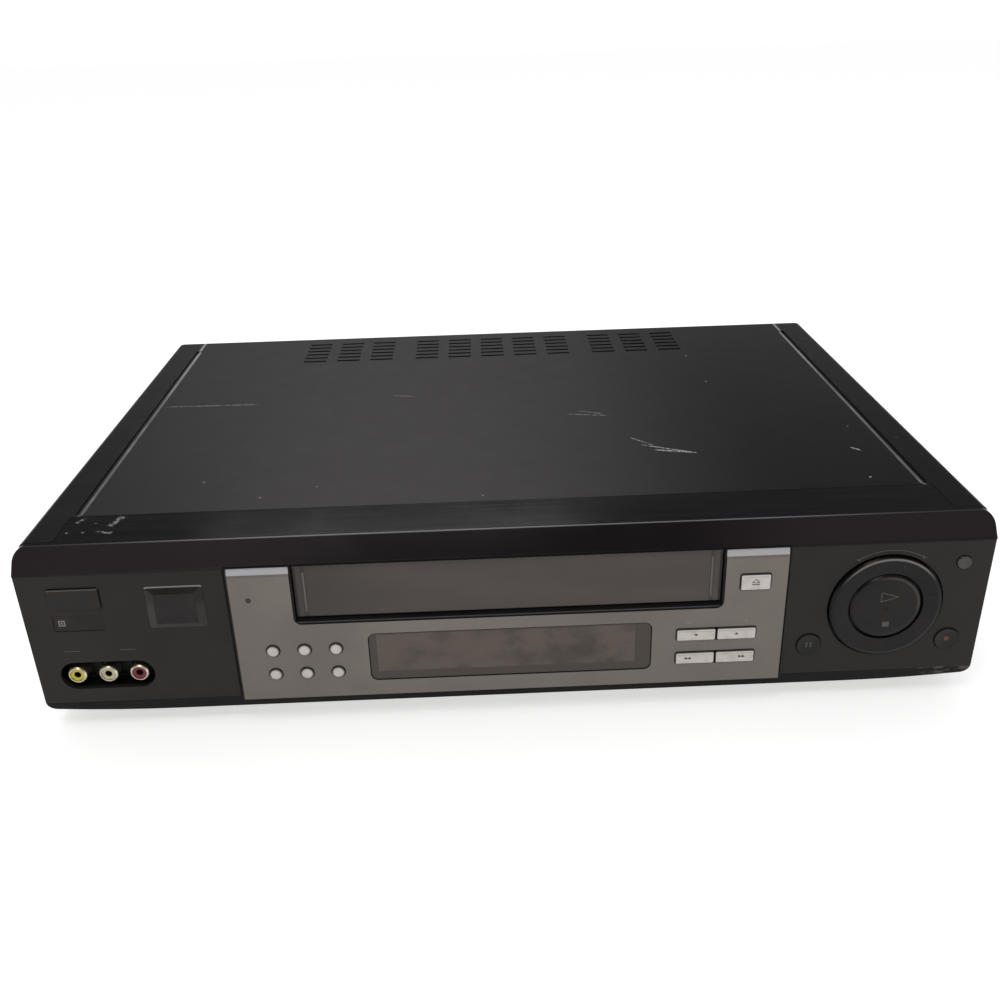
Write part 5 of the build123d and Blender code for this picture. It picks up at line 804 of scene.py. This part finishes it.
for name, slot, bright, dull in (("video_jack_inserts", "insert_yellow", "d9c84a", "bfae35"),
                                 ("left_jack_inserts", "insert_white", "cfc7a6", "b5ac8b"),
                                 ("right_jack_inserts", "insert_red", "7d1a33", "611226")):
    made, tree, skin = finish_of(slot, linear(bright), 0.35, specular=0.45)
    vector, parts = place(tree)
    grime = grain(tree, vector, 600.0, 4.0)
    color = mottle(tree, grime, 0.35, 0.75, bright, dull)
    low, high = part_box(name)
    # painted shade deep in each pin hole
    sunk_shade = between(tree, parts[1], low.y + 0.0003, high.y - 0.0003, 0.0001)
    feed(tree, tint(tree, sunk_shade, color, linear("17120c")), skin, "Base Color")
    feed(tree, span(tree, grime, 0.3, 0.7, 0.28, 0.45), skin, "Roughness")
    dress(name, made)

low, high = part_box("front_jack_block")
middle, above = (low.x + high.x) / 2, (low.z + high.z) / 2 + 0.0131
printed("line_marks", [bar(middle + aside, above, 0.0070, 0.0003) for aside in (-0.0137, 0.0111)],
        "front_panel", "case")

aerial_low, aerial_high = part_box("antenna_sockets")
AERIAL_R = 0.0047  # radius of the threaded barrel
NUT_HALF = 0.00606  # from a nut's lower edge to its middle


def threads(group, given):
    """Rolled thread ridges round both aerial sockets."""
    index = step(group, "GeometryNodeInputIndex").outputs[0]
    row = calc(group, "FLOOR", calc(group, "DIVIDE", index, given["Ridges"]))
    along = calc(group, "SUBTRACT", index, both(group, row, given["Ridges"]))
    y = from_start(group, given["First"], along, given["Pitch"])
    z = from_start(group, given["Lower Z"], row, given["Apart"])
    count = both(group, given["Ridges"], 2.0)
    points = step(group, "GeometryNodePoints", {"Count": count, "Position": point(group, given["X"], y, z)})
    ring, wire = (step(group, "GeometryNodeCurvePrimitiveCircle", {"Resolution": sides, "Radius": size})
                  for sides, size in ((48, given["Radius"]), (6, given["Wire"])))
    ridge = step(group, "GeometryNodeCurveToMesh", {
        "Curve": ring.outputs[0], "Profile Curve": wire.outputs[0]})
    ridge = step(group, "GeometryNodeTransform", {
        "Geometry": ridge.outputs[0], "Rotation": (math.pi / 2, 0, 0)})
    return step(group, "GeometryNodeInstanceOnPoints", {
        "Points": points.outputs[0], "Instance": ridge.outputs[0]}).outputs[0]


repeated("aerial_threads", threads, {
    "Ridges": 6, "Pitch": 0.0009, "First": aerial_high.y - 0.0055, "X": (aerial_low.x + aerial_high.x) / 2,
    "Lower Z": aerial_low.z + NUT_HALF, "Apart": aerial_high.z - aerial_low.z - 2 * NUT_HALF,
    "Radius": AERIAL_R, "Wire": 0.0002}, nickel, "case")

# ---- Case: chassis, rear panel, screws and feet --------------------------------------------------
# The tray is zinc-plated sheet steel with its dull crystal pattern, and the rear panel is painted
# like the cover. Blackened screws hold the cover, and the unit stands on four pushed-in feet.
zinc_steel, tree, skin = finish_of("zinc_steel", linear("9d9d99"), 0.4, metallic=1.0)
vector, parts = place(tree)
spangle = add(tree, "TexVoronoi", {"Vector": vector, "Scale": 420.0}).outputs["Color"]
spangle = add(tree, "RGBToBW", {0: spangle}).outputs[0]
cloud = grain(tree, vector, 30.0, 4.0)
color = mottle(tree, spangle, 0.2, 0.8, "999995", "a8a8a3")
color = stain(tree, color, span(tree, cloud, 0.5, 0.8), 0.4, "777570")
feed(tree, color, skin, "Base Color")
feed(tree, span(tree, spangle, 0.2, 0.8, 0.34, 0.5), skin, "Roughness")
relief(tree, skin, grain(tree, vector, 1800.0, 2.0), 0.00002, 0.3)
dress("bottom_chassis", zinc_steel)
dress("rear_panel", cover_paint)
dress("cord_gland", liner_black)
dress("channel_switch", liner_black)


def dusty(name, finish, code, rough, metallic=0.0):
    """Dark finish that holds dust, and the piece that has it."""
    made, tree, skin = finish_of(finish, linear(code), rough, metallic)
    vector, parts = place(tree)
    dust = grain(tree, vector, 320.0, 4.0)
    feed(tree, mottle(tree, dust, 0.4, 0.75, code, "3c3a38"), skin, "Base Color")
    feed(tree, span(tree, dust, 0.3, 0.7, rough - 0.08, rough + 0.08), skin, "Roughness")
    relief(tree, skin, grain(tree, vector, 2200.0, 2.0), 0.00004, 0.4)
    dress(name, made)


dusty("cover_screws", "screw_black", "1a1a1a", 0.35, 0.6)
dusty("feet", "foot_plastic", "1c1b1b", 0.7)

# ---- Circuit boards ------------------------------------------------------------------------------
# Paper-phenolic boards with soldered parts. The board sheet is brown and the chips and switches on
# it are black. The tallest parts, the tuner can and the heat sink, are tinplate and aluminium.
BOARD_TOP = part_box("main_circuit_board")[0].z + 0.0016  # the sheet is 1.6 mm thick
FRONT_BOARD_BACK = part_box("front_circuit_board")[1].y
board_brown, tree, skin = finish_of("board_brown", linear("7d5a2b"), 0.55, specular=0.4)
vector, parts = place(tree)
fibre = grain(tree, vector, 700.0, 4.0, (1, 0.3, 1))
color = mottle(tree, fibre, 0.3, 0.7, "6f4e24", "8f6a36")
part_color = mottle(tree, grain(tree, vector, 90.0, 2.0), 0.45, 0.55, "1c1b1b", "2a2a2c")
over_sheet = span(tree, parts[2], BOARD_TOP + 0.0002, BOARD_TOP + 0.0005)
raised = both(tree, over_sheet, span(tree, parts[1], FRONT_BOARD_BACK + 0.002, FRONT_BOARD_BACK + 0.004))
color = tint(tree, raised, color, part_color)
tallest = []
for name in ("main_circuit_board", "power_supply"):
    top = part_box(name)[1].z
    tips = [v.co for v in cad[name].data.vertices if v.co.z > top - 0.001]
    tallest.append(inside(tree, parts, min(c.x for c in tips) - 0.0004, max(c.x for c in tips) + 0.0004,
                          min(c.y for c in tips) - 0.0004, max(c.y for c in tips) + 0.0004, (0, 1)))
metal = both(tree, most(tree, tallest), over_sheet)
dull = grain(tree, vector, 160.0, 4.0, offset=(1, 5, 2))
color = tint(tree, metal, color, mottle(tree, dull, 0.35, 0.7, "bdbdb8", "9c9c97"))
feed(tree, color, skin, "Base Color")
feed(tree, metal, skin, "Metallic")
rough = calc(tree, "SUBTRACT", span(tree, fibre, 0.3, 0.7, 0.48, 0.62), both(tree, metal, 0.16))
feed(tree, rough, skin, "Roughness")
relief(tree, skin, fibre, 0.00005, 0.4)
for name in ("front_circuit_board", "main_circuit_board", "power_supply"):
    dress(name, board_brown)

# ---- Tape deck -----------------------------------------------------------------------------------
# Acetal reel tables and gear, a turned aluminium head drum, ground steel capstan, rubber pinch
# roller and polished heads stand on the zinc-plated deck plate, under the cassette basket.
for name in ("deck_plate", "idler_arm", "pinch_roller_arm", "cassette_basket", "carriage_sliders",
             "carriage_frame"):
    dress(name, zinc_steel)
dusty("pinch_roller", "rubber", "1e1d1c", 0.75)
white_acetal, tree, skin = finish_of("white_acetal", linear("d9d6cd"), 0.45, specular=0.45)
vector, parts = place(tree)
cloud = grain(tree, vector, 120.0, 3.0)
feed(tree, mottle(tree, cloud, 0.3, 0.7, "dcd9d0", "c9c4b8"), skin, "Base Color")
feed(tree, span(tree, cloud, 0.3, 0.7, 0.38, 0.52), skin, "Roughness")
for name in ("supply_reel_table", "take_up_reel_table", "idler_gear", "supply_guide_base",
             "take_up_guide_base"):
    dress(name, white_acetal)
for slot, names, code, dull, rough in (
        ("drum_aluminium", ("head_drum_lower", "head_drum_upper"), "d6d7d8", "b4b5b6", 0.22),
        ("steel", ("capstan_flywheel",), "b9b9b8", "8f8f8e", 0.25),
        ("magnetic_head", ("tape_heads",), "b5b4ae", "8b8a84", 0.2)):
    made, tree, skin = finish_of(slot, linear(code), rough, metallic=1.0)
    vector, parts = place(tree)
    low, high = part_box(names[0])
    far = away_from(tree, parts, (low.x + high.x) / 2, (low.y + high.y) / 2)[2]
    turned = point(tree, calc(tree, "SQRT", far), parts[2])
    lathe = grain(tree, turned, 2400.0, 2.0)
    feed(tree, mottle(tree, lathe, 0.3, 0.7, code, dull), skin, "Base Color")
    feed(tree, span(tree, lathe, 0.3, 0.7, rough - 0.06, rough + 0.1), skin, "Roughness")
    relief(tree, skin, lathe, 0.00002, 0.3)
    for name in names:
        dress(name, made)

# ---- Floor, light and camera ---------------------------------------------------------------------
# A plain white floor under soft studio light, with two area lamps outside the view. The floor
# glows for seen rays alone. The room lights evenly from all round, shows in reflections as dark
# over a white foot, and is white to the camera.
FLOOR_HALF = 6
FLOOR_GLOW = 0.52
mesh = bpy.data.meshes.new("floor")
corners = [(x * FLOOR_HALF, y * FLOOR_HALF, 0) for x, y in ((-1, -1), (1, -1), (1, 1), (-1, 1))]
mesh.from_pydata(corners, [], [(0, 1, 2, 3)])
floor = bpy.data.objects.new("floor", mesh)
bpy.context.scene.collection.objects.link(floor)


def seen_ray(tree):
    """Whether a ray is seen, straight or in a reflection, and whether it comes from the camera."""
    paths = add(tree, "LightPath").outputs
    straight = paths["Is Camera Ray"]
    seen = calc(tree, "MAXIMUM", straight, paths["Is Glossy Ray"])
    return calc(tree, "MAXIMUM", seen, paths["Is Transmission Ray"]), straight


made, tree, skin = finish_of("floor_paper", (0.8, 0.8, 0.8), 0.9, specular=0.1)
skin.inputs["Emission Color"].default_value = (1, 1, 1, 1)
feed(tree, both(tree, seen_ray(tree)[0], FLOOR_GLOW), skin, "Emission Strength")
mesh.materials.append(made)

WHITE = (1.0, 1.0, 1.0)
world = bpy.data.worlds.new("studio")
bpy.context.scene.world = world
world.use_nodes = True
tree = world.node_tree
seen, straight = seen_ray(tree)
height = add(tree, "SeparateXYZ", {0: add(tree, "TexCoord").outputs["Generated"]}).outputs[2]
room = tint(tree, span(tree, height, 0.05, 0.17), WHITE, (0.13, 0.125, 0.13))
sky = tint(tree, seen, (0.60, 0.60, 0.60), room)
sky = tint(tree, straight, sky, WHITE)
tree.links.new(sky, tree.nodes["Background"].inputs["Color"])


def lamp(name, spot, aim, size, watts, color):
    """Square area lamp at a place, turned to a point."""
    data = bpy.data.lights.new(name, "AREA")
    data.size = size
    data.energy = watts
    data.color = color
    made = bpy.data.objects.new(name, data)
    made.location = spot
    made.rotation_mode = "QUATERNION"
    made.rotation_quaternion = (Vector(aim) - Vector(spot)).to_track_quat("-Z", "Y")
    bpy.context.scene.collection.objects.link(made)


lamp("back_lamp", (-0.19, 1.55, 1.58), (-0.05, 0, 0.05), 0.9, 8.2, (1.0, 0.97, 0.95))
lamp("front_lamp", (-0.25, -1.1, 1.9), (0, -0.1, 0.05), 0.8, 9.0, (1.0, 0.99, 0.97))

CAMERA_SPOT = (-0.01042, -0.55948, 0.30470)
CAMERA_TURN = Vector((0.44302, -0.02507, -0.03375))  # axis of its turn from level, as long as the angle
camera_data = bpy.data.cameras.new("camera")
camera_data.sensor_width = 36.0
camera_data.lens = 38.305
camera = bpy.data.objects.new("camera", camera_data)
bpy.context.scene.collection.objects.link(camera)
level = Matrix(((1, 0, 0), (0, 0, -1), (0, 1, 0)))
look = Matrix.Rotation(CAMERA_TURN.length, 3, CAMERA_TURN.normalized()) @ level
aim = Matrix((look[0], -look[1], -look[2])).transposed()
camera.matrix_world = Matrix.Translation(CAMERA_SPOT) @ aim.to_4x4()
bpy.context.scene.camera = camera
bpy.context.scene.view_settings.view_transform = "Standard"
